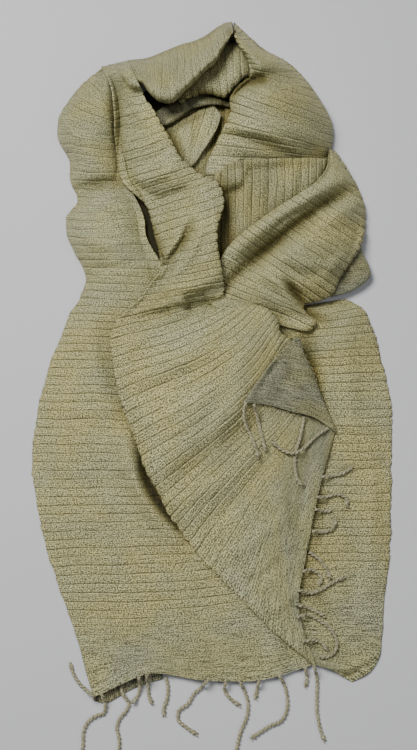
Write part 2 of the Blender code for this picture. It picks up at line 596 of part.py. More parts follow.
def lay_stretch(stretch, pile):
    """One stretch of cloth as a thin wall on the pile. Returns its outside, for what joins its edges."""
    surface, relief = cloth_surface(stretch)
    surface = settled(surface, stretch.inside_step, pile)
    inside = wall_below(surface, stretch.inside_step)
    outside = surface.copy()
    outside[..., 2] += relief[:, None]
    pile.add(outside)
    points = np.concatenate([table_points(outside).reshape(-1, 3), table_points(inside).reshape(-1, 3)])
    add_object(stretch.name, points, wall_faces(*surface.shape[:2], stretch.inside_step), stretch.colour)
    return outside


def closed_curve(corners, count):
    """A smooth closed curve by way of the corners, as evenly numbered points."""
    loop = np.array(corners * 3, float)
    return smooth_through(np.arange(len(loop)), loop, len(corners) + np.arange(count) * len(corners) / count)


def lay_hidden_layers(pile):
    """The rounded solid that stands for the layers inside the heap, stepped at its edge like they are."""
    outline = closed_curve(HEAP_OUTLINE, 2 * len(HEAP_OUTLINE))
    middle = outline.mean(axis=0)
    reach = np.linalg.norm(outline - middle, axis=1, keepdims=True)
    rings = [(0, 0)]
    for layer in range(HEAP_LAYERS):
        setback = layer * LAYER_SETBACK
        height = layer * LAYER_HEIGHT
        rings += [(setback - 1, height + 0.5 * LAYER_HEIGHT), (setback + 1, height + LAYER_HEIGHT)]
    setback, height = rings[-1]
    for share in DOME_RINGS:
        inwards = setback + share * (reach.min() - setback)
        rings.append((inwards, height + HEAP_DOME * math.sin(share * math.pi / 2)))
    grid = []
    for inwards, height in rings:
        ring = middle + (outline - middle) * (1 - inwards / reach)
        grid.append(np.column_stack([ring, np.full(len(ring), height)]))
    grid = np.array(grid)
    pile.add(np.concatenate([grid, grid[:, :1]], axis=1))
    count = grid.shape[1]
    faces = [tuple(range(count)), tuple((len(grid) - 1) * count + i for i in range(count))]
    for r in range(len(grid) - 1):
        for i in range(count):
            after = (i + 1) % count
            faces.append((r * count + i, r * count + after, (r + 1) * count + after, (r + 1) * count + i))
    add_object("hidden_layers", table_points(grid).reshape(-1, 3), faces, DEEP)


def lay_fringe(fringe, hem, under, pile):
    """Strands that run out of one narrow strip, which lies just outside the hem of a stretch."""
    length = run_along(hem)
    cuts, strands = strip_cuts(fringe.strands, hem, length)
    line = np.stack([np.interp(cuts, length, hem[:, axis]) for axis in range(3)], axis=1)
    along = np.gradient(line[:, :2], axis=0)
    along /= np.linalg.norm(along, axis=1, keepdims=True)
    outwards = np.column_stack([-along[:, 1], along[:, 0]])
    near, far = line.copy(), line.copy()
    near[:, :2] += outwards * STRIP_GAP
    far[:, :2] += outwards * (STRIP_GAP + STRIP_WIDTH)
    floor = np.maximum(resting_height(under, near), resting_height(under, far))
    top = np.maximum(line[:, 2], floor + CLOTH)

    points, faces = [], []
    for k in range(len(cuts)):
        for edge, height in ((near, top[k]), (near, top[k] - CLOTH), (far, top[k] - CLOTH), (far, top[k])):
            points.append((*edge[k, :2], height))
    faces.append((0, 1, 2, 3))
    faces.append(tuple(len(points) - 1 - i for i in range(4)))
    for k, strand in enumerate(strands):
        here, after = 4 * k, 4 * k + 4
        for side in (0, 1, 3):
            turn = (side + 1) % 4
            faces.append((here + side, after + side, after + turn, here + turn))
        mouth = (here + 3, after + 3, after + 2, here + 2)
        if strand:
            start = (far[k] + far[k + 1]) / 2
            way = (outwards[k] + outwards[k + 1]) / 2
            mouth = draw_strand(strand, start, way, mouth, points, faces, pile)
        faces.append(mouth)
    add_object(fringe.name, table_points(points), faces, PALE)


def run_along(line):
    """How far along a line of places each of them is."""
    return np.concatenate([[0], np.cumsum(np.linalg.norm(np.diff(line[:, :2], axis=0), axis=1))])


def strip_cuts(strands, hem, length):
    """Where the strip is cut along its hem, and the strand, if any, that leaves each of its pieces."""
    steps = np.linspace(0, length[-1], math.ceil(length[-1]))
    places = np.stack([np.interp(steps, length, hem[:, axis]) for axis in (0, 1)], axis=1)
    cuts, owners = [0], []
    for strand in (*strands, None):
        end = length[-1]
        if strand:
            root = steps[np.linalg.norm(places - strand[0], axis=1).argmin()]
            end = np.clip(root, STRAND, length[-1] - STRAND) - STRAND / 2
        plain = np.linspace(cuts[-1], end, math.ceil((end - cuts[-1]) / STRIP_STEP) + 1)[1:]
        cuts += list(plain)
        owners += [None] * len(plain)
        if strand:
            cuts.append(end + STRAND)
            owners.append(strand)
    return np.array(cuts), owners


def resting_height(top, places):
    """The highest thing under each place and close round it, with a clearance, or the table."""
    heights = np.empty(len(places))
    for i, (across, down) in enumerate(np.rint(places[:, :2]).astype(int)):
        rows = slice(down - STRAND_REACH, down + STRAND_REACH + 1)
        columns = slice(across - STRAND_REACH, across + STRAND_REACH + 1)
        heights[i] = top[rows, columns].max() + CLEARANCE
    return heights


def draw_strand(strand, start, way, mouth, points, faces, pile):
    """A strand drawn out of the strip's face at mouth. Returns the face that ends it."""
    knots = np.array([start[:2] + way * STRAND, *strand[1:]])
    length = run_along(knots)
    count = max(2, round(length[-1] / STRAND_STEP))
    flat = smooth_through(length, knots, np.linspace(0, length[-1], count + 1))
    route = np.column_stack([flat, resting_height(pile.wide, flat) + STRAND / 2])
    loop = math.ceil(2 * STRAND / STRAND_STEP) + 1
    for i in range(loop, len(route)):
        close = np.linalg.norm(route[:i - loop, :2] - route[i, :2], axis=1) < 2 * STRAND
        if close.any():
            route[i, 2] = max(route[i, 2], route[:i - loop, 2][close].max() + STRAND + CLEARANCE)
    run = np.gradient(route[:, :2], axis=0)
    run /= np.linalg.norm(run, axis=1, keepdims=True)
    half = STRAND / 2
    for place, (run_across, run_down) in zip(route, run):
        aside = np.array([run_down, -run_across]) * half
        ring = len(points)
        for side, rise in ((-1, half), (1, half), (1, -half), (-1, -half)):
            points.append((*(place[:2] + side * aside), place[2] + rise))
        for corner in range(4):
            after = (corner + 1) % 4
            faces.append((mouth[corner], mouth[after], ring + after, ring + corner))
        mouth = tuple(range(ring, ring + 4))
    pile.add(np.array([[place + (side * aside[0], side * aside[1], half) for side in (-1, 1)]
                       for place, aside in zip(route, run[:, ::-1] * (half, -half))]))
    return mouth


def main():
    for old in list(bpy.data.objects):
        bpy.data.objects.remove(old, do_unlink=True)
    pile = Pile()
    lay_hidden_layers(pile)
    hems, under = {}, {}
    for stretch in STRETCHES:
        under[stretch.name] = pile.wide
        hems[stretch.name] = lay_stretch(stretch, pile)[-1]
    for fringe in FRINGES:
        lay_fringe(fringe, hems[fringe.hem_of], under[fringe.hem_of], pile)


main()
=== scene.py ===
"""The looks of the silk scarf: crinkled cloth, twisted fringes, a pale floor, soft light and the camera.

Each stretch of cloth is a thin shell on its solid's form. The tables give places in millimetres, in the
view of the camera: across runs to the right and down runs towards it, and height is above the table.
"""
import math
from collections import namedtuple

import bmesh
import bpy
import numpy as np
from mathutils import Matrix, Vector, noise
from mathutils.bvhtree import BVHTree


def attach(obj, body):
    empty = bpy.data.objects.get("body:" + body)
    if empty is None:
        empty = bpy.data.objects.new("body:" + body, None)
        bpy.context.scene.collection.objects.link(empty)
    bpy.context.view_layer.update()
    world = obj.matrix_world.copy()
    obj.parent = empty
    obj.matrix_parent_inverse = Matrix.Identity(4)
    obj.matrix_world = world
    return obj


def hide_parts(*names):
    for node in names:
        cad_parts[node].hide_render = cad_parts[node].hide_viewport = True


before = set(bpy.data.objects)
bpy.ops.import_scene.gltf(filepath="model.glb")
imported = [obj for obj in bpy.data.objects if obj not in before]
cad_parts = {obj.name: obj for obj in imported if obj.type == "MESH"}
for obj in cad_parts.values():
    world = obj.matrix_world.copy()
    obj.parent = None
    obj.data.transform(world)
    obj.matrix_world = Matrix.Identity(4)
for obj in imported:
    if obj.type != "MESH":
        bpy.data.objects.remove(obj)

MM = 0.001
SEED = 7

EYE_ELEVATION = math.radians(74)
EYE_DISTANCE = 1000
VIEW_ACROSS = 208.5
VIEW_DOWN = 375
VIEW_TALL = 750
ORIGIN = (4.24, 17.85)  # the middle of the scarf's outline, aside of and beyond the middle of the view
EYE = (
    -ORIGIN[0] * MM,
    (-ORIGIN[1] - EYE_DISTANCE * math.cos(EYE_ELEVATION)) * MM,
    EYE_DISTANCE * math.sin(EYE_ELEVATION) * MM,
)

CLOTH = 1.1
CLEARANCE = 0.3
STEEPEST_WALL = 2.2  # how much a wall that stands up may be thickened along its height
RIB_PITCH = 8.7
BAND_HEIGHT = 0.75
LIP_PLACE = 1.5  # how far from a groove the raised lip of its rib runs, also drawn as a painted highlight
LIP_WIDTH = 0.8
LIP_HEIGHT = 0.55
RIB_SINK = 0.6  # how far the ribs as a whole lie under their own height, so that they don't swell the cloth
MOST_RIBBING = 1.6
SCALLOP = 1.3  # how far a selvedge bulges at each rib
ROW_STEP = 1.25
COLUMN_STEP = 1.6
INSIDE_STEP = 4  # how many steps of the outside one step of the inside spans
FOLD_STEPS = 40
FOLD_TAPER = 0.12  # how far along their curve the ends of a fold have already faded
FINE_STEPS = 96
EDGE_TURN = 0.6  # how far the cloth's edges turn down, within about EDGE_STEPS of their points
EDGE_STEPS = 0.8
CRUMPLE_DEPTH = 1.5
CRUMPLES_TO_A_METRE = 60

# A place that lies CAVITY_DEPTH below its surroundings has the full cavity shade.
CAVITY_DEPTH = 17
CAVITY_ROUNDS = 110
CAVITY_SHADE = (0.36, 0.32, 0.16)
PIT_SHADE = (0.2, 0.18, 0.12)

# The grain is SOFT_GRAIN as strong in the heap, down to HEAP_END, as it is from TAILS_START on.
SOFT_GRAIN = 0.5
HEAP_END = 280
TAILS_START = 420
ROWS_TO_A_RIB = 4

# The soft wrinkles and the crepe's puckers: heights in millimetres, each with its steps along and across.
CRINKLES = ((0.9, (34, 26)), (0.4, (9, 12)), (0.16, (2.4, 3.2)), (0.2, (1.4, 2.0)))

# Noises over the cloth. Their scale is per millimetre, across and along it.
Pattern = namedtuple("Pattern", "scale detail roughness")
BEADS = Pattern((0.78, 0.92), 1.0, 0.7)
WEFT = Pattern((0.05, 0.5), 4.0, 0.8)
TINT = Pattern((0.02, 0.02), 2.0, 0.5)
PATCHES = Pattern((0.025, 0.05), 2.0, 0.6)
MAP_UNIT = 100  # millimetres across the cloth to one unit of its map

SILK = (0.425, 0.40, 0.212)
PLAIN_SILK = (0.315, 0.297, 0.165)
# The heap's colour factor below is painted shade, darkening the heap away from the tails.
HEAP_SHADE = (0.85, 0.86, 0.86)
PLAIN_TINT = (0.79, 0.83, 0.93)
# Near black: painted shade for the hidden layers, where the pits show them.
HIDDEN_SHADE_SILK = (0.035, 0.029, 0.013)
# The dark colour below is painted shade, drawn in the grooves between the ribs.
GROOVE_SHADE = (0.09, 0.078, 0.035)
GROOVE_SHARE = 0.6
GROOVE_SINK = 0.8
BUMP_HEIGHT = 0.0013

# Places on the noises, with the share of the silk's own colour there, and with its tint and fibre colours.
GRAIN_STOPS = ((0.44, 0.2), (0.56, 1.75))
TINT_STOPS = ((0.35, (0.95, 0.98, 1.02)), (0.65, (1.05, 1.01, 0.84)))
FIBRE_STOPS = ((0.38, (0.20, 0.185, 0.105)), (0.62, (0.48, 0.45, 0.29)))

FLOOR_COLOUR = (0.62, 0.63, 0.66)
FLOOR_REACH = 4
Light = namedtuple("Light", "name place size power colour")
LIGHTS = (
    Light("key light", (-0.75, 0.6, 1.6), 0.9, 42, (1.0, 0.985, 0.95)),
    Light("fill light", (0.9, -0.5, 1.4), 1.6, 10, (0.97, 0.98, 1.0)),
)

STRAND = 3.6
STRAND_TWIST = 9.0
STRAND_STEP = 1.0
PLY_OFFSET = 0.85
PLY_RADIUS = 1.05
PLY_SIDES = 7
KNOT_PLACE = 5  # how far from its end a strand is knotted
KNOT_WIDTH = 1.6
FRAY_LENGTH = 4

# A section runs from left to right, both (across, down, height), and rises by its crown between them, the
# fuller the more puff it has. Its bows push it along the cloth at one, two and three quarters of its width,
# and ribs is how strong the ribs are there. A fold lifts or sinks the cloth along a curve.
Section = namedtuple("Section", "left right crown puff bows ribs", defaults=(0, 0, (0, 0, 0), 1))
Fold = namedtuple("Fold", "start middle end width height")
Stretch = namedtuple("Stretch", "name slot flat sections folds")

TURNED_HEM = Stretch("turned_hem", "plain_silk", (0.014, 0.074), (
    Section((94, 701, 2), (92, 684, 2), ribs=0),
    Section((106, 703, 2), (104, 684, 2), ribs=0),
    Section((118, 697, 2), (117, 678, 2), ribs=0),
    Section((132, 689, 2), (131, 672, 2), ribs=0),
    Section((148, 683, 2), (147, 666, 2), ribs=0),
    Section((163, 679, 2), (162, 666, 2), ribs=0),
), ())

LEFT_TAIL = Stretch("left_tail", "crinkled_silk", (0.16, 0.64), (
    Section((104, 68, 2), (112, 90, 12), 14, 0.8, ribs=0.3),
    Section((88, 80, 2), (116, 102, 8), 22, 0.85, ribs=0.5),
    Section((72, 97, 2), (118, 118, 6), 27, 0.85, ribs=0.7),
    Section((60, 116, 2), (118, 132, 5), 30, 0.85, ribs=0.6),
    Section((58, 138, 2), (119, 147, 4), 30, 0.85, ribs=0.6),
    Section((69, 160, 2), (122, 164, 4), 26, 0.85, ribs=0.7),
    Section((71, 182, 2), (127, 182, 4), 19, 0.8, ribs=0.7),
    Section((78, 200, 2), (136, 198, 6), 22, 0.85, ribs=0.6),
    Section((67, 218, 2), (144, 216, 7), 29, 0.85, ribs=0.6),
    Section((69, 240, 2), (147, 238, 7), 30, 0.85, ribs=0.7),
    Section((80, 262, 2), (160, 262, 6), 27, 0.85, ribs=0.7),
    Section((86, 279, 2), (168, 282, 5), 22, 0.8, ribs=0.8),
    Section((80, 298, 2), (178, 302, 4), 18, 0.7, ribs=0.9),
    Section((68, 320, 2), (192, 324, 3), 14, 0.6),
    Section((58, 345, 2), (212, 347, 2), 12, 0.5),
    Section((45, 385, 2), (226, 388, 2), 10, 0.5),
    Section((36, 430, 2), (240, 432, 2), 8, 0.5),
    Section((33, 470, 2), (252, 472, 2), 7, 0.5),
    Section((40, 515, 2), (264, 512, 2), 6, 0.4),
    Section((51, 560, 2), (280, 552, 2), 5, 0.4),
    Section((66, 605, 2), (294, 592, 2), 4, 0.4, (4, 4, 2)),
    Section((78, 642, 2), (304, 626, 2), 4, 0.4, (2, 3, 2), 0.2),
    Section((93, 697, 4), (315, 664, 4), 3, 0.3, (-15, 0, 8), 0),
), (
    Fold((72, 187), (96, 185), (120, 181), 5, -6),
    Fold((96, 200), (122, 192), (140, 206), 7, 4),
    Fold((126, 432), (138, 484), (176, 538), 9, 13),
    Fold((146, 450), (156, 490), (190, 536), 8, -18),
    Fold((104, 330), (108, 370), (128, 430), 10, -5),
    Fold((98, 700), (124, 690), (158, 672), 12, 10),
))

RIGHT_PANEL = Stretch("right_panel", "crinkled_silk", (0.13, 0.37), (
    Section((278, 309, 2), (345, 299, 2), 0, 0),
    Section((270, 320, 3), (360, 307, 2), 9, 0.8),
    Section((254, 341, 3), (373, 332, 2), 13, 0.7),
    Section((228, 372, 3), (382, 366, 2), 10, 0.6),
    Section((222, 402, 3), (389, 400, 2), 7, 0.5),
    Section((234, 440, 3), (391, 438, 2), 5, 0.4),
    Section((246, 480, 3), (390, 478, 2), 4, 0.4),
    Section((260, 520, 3), (390, 519, 2), 4, 0.4),
    Section((276, 562, 3), (388, 561, 2), 4, 0.4),
    Section((288, 604, 3), (384, 603, 2), 4, 0.4, ribs=0.3),
    Section((300, 636, 3), (382, 638, 2), 4, 0.4, ribs=0),
    Section((307, 652, 4), (379, 659, 2), 3, 0.4, ribs=0),
    Section((311, 660, 5), (368, 674, 2), 3, 0.4, ribs=0),
    Section((314, 664, 5), (352, 682, 2), 2, 0.3, (-1, -2, -1), 0),
), (
    Fold((304, 330), (312, 360), (318, 420), 12, -6),
    Fold((330, 312), (346, 322), (360, 340), 10, 3),
))

SIDE_CORNER = Stretch("side_corner", "plain_silk", (0.05, 0.08), (
    Section((318, 226, 12), (361, 230, 8), 3, 0.4, ribs=0),
    Section((318, 245, 12), (362, 250, 9), 3, 0.4, ribs=0),
    Section((316, 262, 11), (369, 266, 10), 3, 0.4, ribs=0),
    Section((312, 278, 10), (370, 277, 10), 3, 0.4, ribs=0),
    Section((308, 290, 9), (352, 291, 9), 3, 0.4, ribs=0),
    Section((308, 297, 9), (332, 297, 9), 1, 0.4, ribs=0),
), ())

WINDOW_FLOOR = Stretch("window_floor", "crinkled_silk", (0.08, 0.095), (
    Section((160, 150, 12), (150, 116, 12), 0, 0),
    Section((176, 166, 18), (166, 112, 16), 3, 0),
    Section((188, 174, 24), (182, 106, 19), 4, 0),
    Section((200, 184, 29), (200, 100, 22), 4, 0),
    Section((214, 186, 33), (218, 96, 24), 4, 0),
    Section((230, 180, 36), (236, 94, 26), 3, 0),
), (
    Fold((224, 114), (214, 142), (194, 172), 4, -4),
    Fold((230, 120), (221, 143), (203, 178), 3, 3),
))

WINDOW_LEAF = Stretch("window_leaf", "crinkled_silk", (0.055, 0.055), (
    Section((160, 140, 22), (166, 130, 25), 2, 0.4, ribs=0.4),
    Section((168, 150, 23), (176, 124, 28), 3, 0.4, ribs=0.8),
    Section((177, 160, 26), (189, 116, 30), 4, 0.4, ribs=0.8),
    Section((184, 166, 28), (202, 109, 31), 4, 0.4, ribs=0.8),
    Section((190, 168, 31), (213, 106, 33), 4, 0.4, ribs=0.8),
    Section((194, 164, 33), (221, 114, 35), 3, 0.4, (1, 3, 3), 0.4),
), (
    Fold((190, 116), (188, 138), (188, 160), 5, 2),
))

INNER_BAND = Stretch("inner_band", "plain_silk", (0.03, 0.085), (
    Section((163, 127, 26), (155, 112, 25), 5, 0.9, ribs=0),
    Section((171, 124, 27), (164, 106, 26), 6, 0.9, ribs=0),
    Section((180, 118, 28), (176, 100, 27), 6, 0.9, ribs=0),
    Section((189, 111, 29), (188, 95, 28), 6, 0.9, ribs=0),
    Section((200, 107, 29), (200, 90, 28), 4, 0.9, ribs=0),
    Section((214, 105, 28), (214, 88, 27), 3, 0.9, ribs=0),
    Section((230, 108, 28), (231, 90, 27), 2, 0.9, ribs=0),
), (
    Fold((166, 106), (172, 114), (178, 121), 3, -3),
    Fold((184, 97), (188, 104), (190, 111), 3, -3),
))

INNER_ROLL = Stretch("inner_roll", "crinkled_silk", (0.06, 0.09), (
    Section((179, 102, 34), (172, 92, 34), 3, 0.7),
    Section((190, 97, 36), (182, 80, 35), 6, 0.8),
    Section((200, 94, 37), (194, 68, 35), 9, 0.8),
    Section((212, 95, 38), (206, 56, 35), 11, 0.8),
    Section((224, 97, 38), (218, 48, 35), 12, 0.8),
    Section((233, 89, 39), (230, 44, 35), 12, 0.8),
    Section((243, 79, 39), (242, 44, 35), 11, 0.8),
    Section((256, 77, 36), (255, 48, 33), 8, 0.7),
), ())

RIGHT_CROWN = Stretch("right_crown", "crinkled_silk", (0.17, 0.15), (
    Section((235, 30, 48), (234.4, 22.3, 2), 6, 0.8),
    Section((237, 38, 52), (250, 37, 2), 20, 0.9),
    Section((240, 46, 53), (264, 50, 2), 28, 0.9),
    Section((246, 56, 52), (285, 61, 2), 32, 0.9),
    Section((251, 66, 47), (303, 77, 2), 36, 0.9),
    Section((250, 77, 42), (319, 98, 2), 38, 0.9),
    Section((240, 86, 46), (330, 118, 2), 38, 0.85),
    Section((230, 98, 48), (333, 133, 2), 37, 0.8),
    Section((231, 114, 47), (332, 145, 3), 34, 0.7),
    Section((224, 130, 45), (331, 152, 6), 25, 0.6),
    Section((214, 148, 41), (329, 158, 10), 17, 0.5),
    Section((207, 164, 34), (326, 165, 13), 9, 0.4),
    Section((206, 180, 25), (322, 172, 13), 5, 0.3, (0, -2, 0)),
), (
    Fold((254, 84), (268, 76), (296, 78), 8, -9),
    Fold((222, 134), (255, 142), (298, 158), 5, -4),
    Fold((222, 126), (258, 132), (300, 148), 5, 3),
    Fold((236, 48), (240, 40), (248, 32), 5, -4),
))

BACK_PLATE = Stretch("back_plate", "crinkled_silk", (0.08, 0.13), (
    Section((212, 262, 8), (214, 176, 35), 1, 0.3),
    Section((232, 254, 9), (231, 163, 38), 3, 0.3),
    Section((262, 240, 15), (262, 159, 39), 4, 0.3),
    Section((296, 224, 22), (296, 158, 36), 5, 0.3),
    Section((318, 208, 23), (318, 158, 30), 5, 0.4),
    Section((334, 192, 10), (332, 159, 14), 5, 0.6),
), (
    Fold((226, 186), (224, 215), (226, 250), 9, -5),
))

TOP_BAND = Stretch("top_band", "crinkled_silk", (0.1, 0.16), (
    Section((132, 82, 43), (116, 63, 2), 24, 0.85, ribs=0),
    Section((142, 84, 47), (130, 60, 2), 28, 0.85, ribs=0.2),
    Section((150, 94, 49), (147, 58, 2), 30, 0.85, ribs=0.5),
    Section((160, 102, 50), (160, 53, 2), 31, 0.85, ribs=0.6),
    Section((172, 103, 50), (172, 48, 2), 32, 0.85, ribs=0.6),
    Section((183, 93, 51), (182, 44, 2), 32, 0.85, ribs=0.7),
    Section((195, 82, 52), (191, 42, 2), 32, 0.85, ribs=0.7),
    Section((206, 71, 54), (201, 38, 2), 32, 0.85, ribs=0.7),
    Section((216, 61, 56), (209, 34, 2), 31, 0.85, ribs=0.7),
    Section((222, 50, 58), (216, 29, 2), 29, 0.85, ribs=0.7),
    Section((228, 41, 57), (224, 24, 2), 24, 0.85, ribs=0.7),
    Section((233, 32, 54), (231.8, 22, 2), 14, 0.8, ribs=0.7),
), (
    Fold((216, 48), (226, 38), (238, 28), 6, -4),
    Fold((140, 66), (165, 62), (190, 52), 8, 3),
))

DIAGONAL_ROLL = Stretch("diagonal_roll", "crinkled_silk", (0.155, 0.16), (
    Section((329, 148, 14), (335, 151, 2), 3, 0.7),
    Section((328, 157, 20), (346, 168, 2), 9, 0.75),
    Section((326, 168, 25), (357, 187, 2), 14, 0.8),
    Section((315, 182, 30), (364, 212, 2), 18, 0.8),
    Section((296, 195, 32), (362, 240, 6), 20, 0.7),
    Section((277, 207, 33), (355, 256, 14), 20, 0.6),
    Section((257, 221, 34), (341, 274, 18), 18, 0.5),
    Section((240, 234, 34), (331, 294, 14), 17, 0.5),
    Section((231, 243, 33), (316, 301, 12), 15, 0.45),
    Section((224, 252, 31), (306, 304, 13), 12, 0.4),
    Section((218, 262, 28), (303, 308, 16), 9, 0.4),
    Section((213, 272, 24), (307, 314, 17), 8, 0.4),
    Section((209, 282, 19), (316, 322, 13), 8, 0.45),
    Section((208, 290, 15), (309, 331, 10), 8, 0.5),
    Section((212, 298, 12), (290, 328, 10), 5, 0.4),
    Section((222, 306, 10), (268, 322, 11), 2, 0.3),
), (
    Fold((350, 192), (288, 232), (220, 294), 10, -22),
    Fold((342, 180), (284, 210), (220, 258), 9, 8),
    Fold((348, 250), (332, 268), (318, 282), 6, 3),
    Fold((276, 280), (292, 300), (312, 322), 6, 9),
    Fold((262, 308), (282, 318), (304, 334), 6, -4),
    Fold((287, 282), (296, 294), (305, 307), 5, -9),
))

UPPER_TAIL = Stretch("upper_tail", "crinkled_silk", (0.115, 0.65), (
    Section((101, 67, 2), (127, 60.5, 2), 2, 0.4, ribs=0),
    Section((103, 70, 13), (129, 63, 24), 4, 0.5, ribs=0),
    Section((105, 74, 19), (132, 68, 42), 4, 0.5, ribs=0),
    Section((109, 82, 17), (136, 77, 49), 4, 0.5, ribs=0),
    Section((112, 92, 13), (140, 86, 50), 5, 0.5, ribs=0.3),
    Section((113, 103, 10), (143, 96, 49), 6, 0.5, ribs=1),
    Section((114, 117, 8), (150, 107, 49), 8, 0.6, ribs=1.4),
    Section((114, 134, 7), (159, 121, 50), 10, 0.6, ribs=1.5),
    Section((116, 152, 7), (168, 137, 50), 12, 0.6, ribs=1.5),
    Section((118, 170, 7), (177, 153, 49), 14, 0.6, ribs=1.5),
    Section((123, 184, 7), (187, 165, 48), 15, 0.6, ribs=1.4),
    Section((136, 196, 8), (202, 176, 47), 14, 0.6, ribs=1.3),
    Section((147, 208, 7), (217, 184, 46), 13, 0.6, ribs=1.3),
    Section((151, 222, 7), (223, 200, 45), 12, 0.6, ribs=1.3),
    Section((155, 238, 7), (220, 216, 45), 12, 0.6, ribs=1.3),
    Section((159, 253, 7), (216, 236, 45), 13, 0.6, ribs=1.3),
    Section((160, 269, 9), (219, 254, 43), 13, 0.6, ribs=1.2),
    Section((150, 284, 9), (222, 270, 38), 12, 0.5, ribs=1.2),
    Section((138, 299, 8), (223, 284, 31), 10, 0.4),
    Section((122, 314, 7), (222, 294, 20), 5, 0.3),
    Section((113, 327, 6), (224, 298, 15), 1, 0.3),
    Section((110, 340, 6), (232, 300, 18), 4, 0.3, (2, 3, 2)),
    Section((112, 355, 7), (244, 303, 24), 10, 0.4, (4, 6, 5)),
    Section((115, 377, 8), (257, 305, 27), 13, 0.4, (5, 10, 9)),
    Section((120, 400, 9), (268, 310, 28), 14, 0.4, (6, 12, 11)),
    Section((129, 425, 12), (276, 318, 28), 13, 0.4, (7, 13, 12)),
    Section((139, 450, 17), (280, 332, 26), 12, 0.4, (8, 14, 12)),
    Section((150, 477, 18), (290, 341, 23), 11, 0.4, (6, 13, 12)),
    Section((160, 496, 16), (300, 348, 20), 10, 0.4, (4, 11, 11)),
    Section((171, 516, 12), (307, 360, 17), 9, 0.4, (2, 8, 10)),
    Section((186, 537, 8), (314, 375, 14), 8, 0.4, (2, 5, 9)),
    Section((208, 565, 6), (320, 392, 12), 8, 0.4, (0, 1, 6), 0.8),
    Section((239, 597, 5), (325, 408, 11), 8, 0.4, (-2, -4, 0), 0.2),
    Section((271, 630, 5), (330, 420, 10), 8, 0.4, (-8, -14, -8), 0),
    Section((316, 667, 6), (335, 433, 9), 5, 0.3, (-22, -18, -11), 0),
), (
    Fold((194, 222), (182, 244), (164, 266), 4, -7),
    Fold((116, 345), (118, 385), (134, 430), 7, -4),
    Fold((206, 196), (214, 212), (216, 236), 6, 3),
    Fold((168, 492), (208, 450), (252, 424), 13, -8),
    Fold((150, 372), (190, 356), (240, 340), 18, 5),
    Fold((200, 470), (226, 420), (246, 360), 12, 4),
    Fold((262, 312), (274, 322), (279, 345), 5, 5),
    Fold((150, 470), (176, 506), (214, 556), 7, 4),
    Fold((250, 560), (282, 600), (306, 650), 9, 3),
))

CORNER_FLAP = Stretch("corner_flap", "plain_silk", (0.052, 0.083), (
    Section((293, 338, 26), (300, 337, 25), 1, 0.4, ribs=0),
    Section((284, 347, 29), (304, 352, 23), 3, 0.5, ribs=0),
    Section((270, 363, 30), (313, 372, 18), 5, 0.5, ribs=0),
    Section((256, 382, 28), (322, 396, 15), 6, 0.5, ribs=0),
    Section((243, 402, 25), (337, 432, 13), 6, 0.5, (-5, -6, -7), 0),
), (
    Fold((286, 348), (270, 366), (250, 396), 3, 3),
    Fold((276, 402), (286, 385), (296, 352), 6, -2),
))

STRETCHES = (
    TURNED_HEM, LEFT_TAIL, RIGHT_PANEL, SIDE_CORNER, WINDOW_FLOOR, WINDOW_LEAF, INNER_BAND, INNER_ROLL,
    RIGHT_CROWN, BACK_PLATE, TOP_BAND, DIAGONAL_ROLL, UPPER_TAIL, CORNER_FLAP,
)

# The place down the view from which a stretch's left and right selvedges are free, and scalloped.
FREE_SELVEDGES = {
    "left_tail": (0, VIEW_TALL),
    "right_panel": (VIEW_TALL, 0),
    "window_leaf": (VIEW_TALL, 0),
    "inner_roll": (0, VIEW_TALL),
    "right_crown": (0, VIEW_TALL),
    "top_band": (0, VIEW_TALL),
    "diagonal_roll": (VIEW_TALL, 0),
    "upper_tail": (440, 84),
}

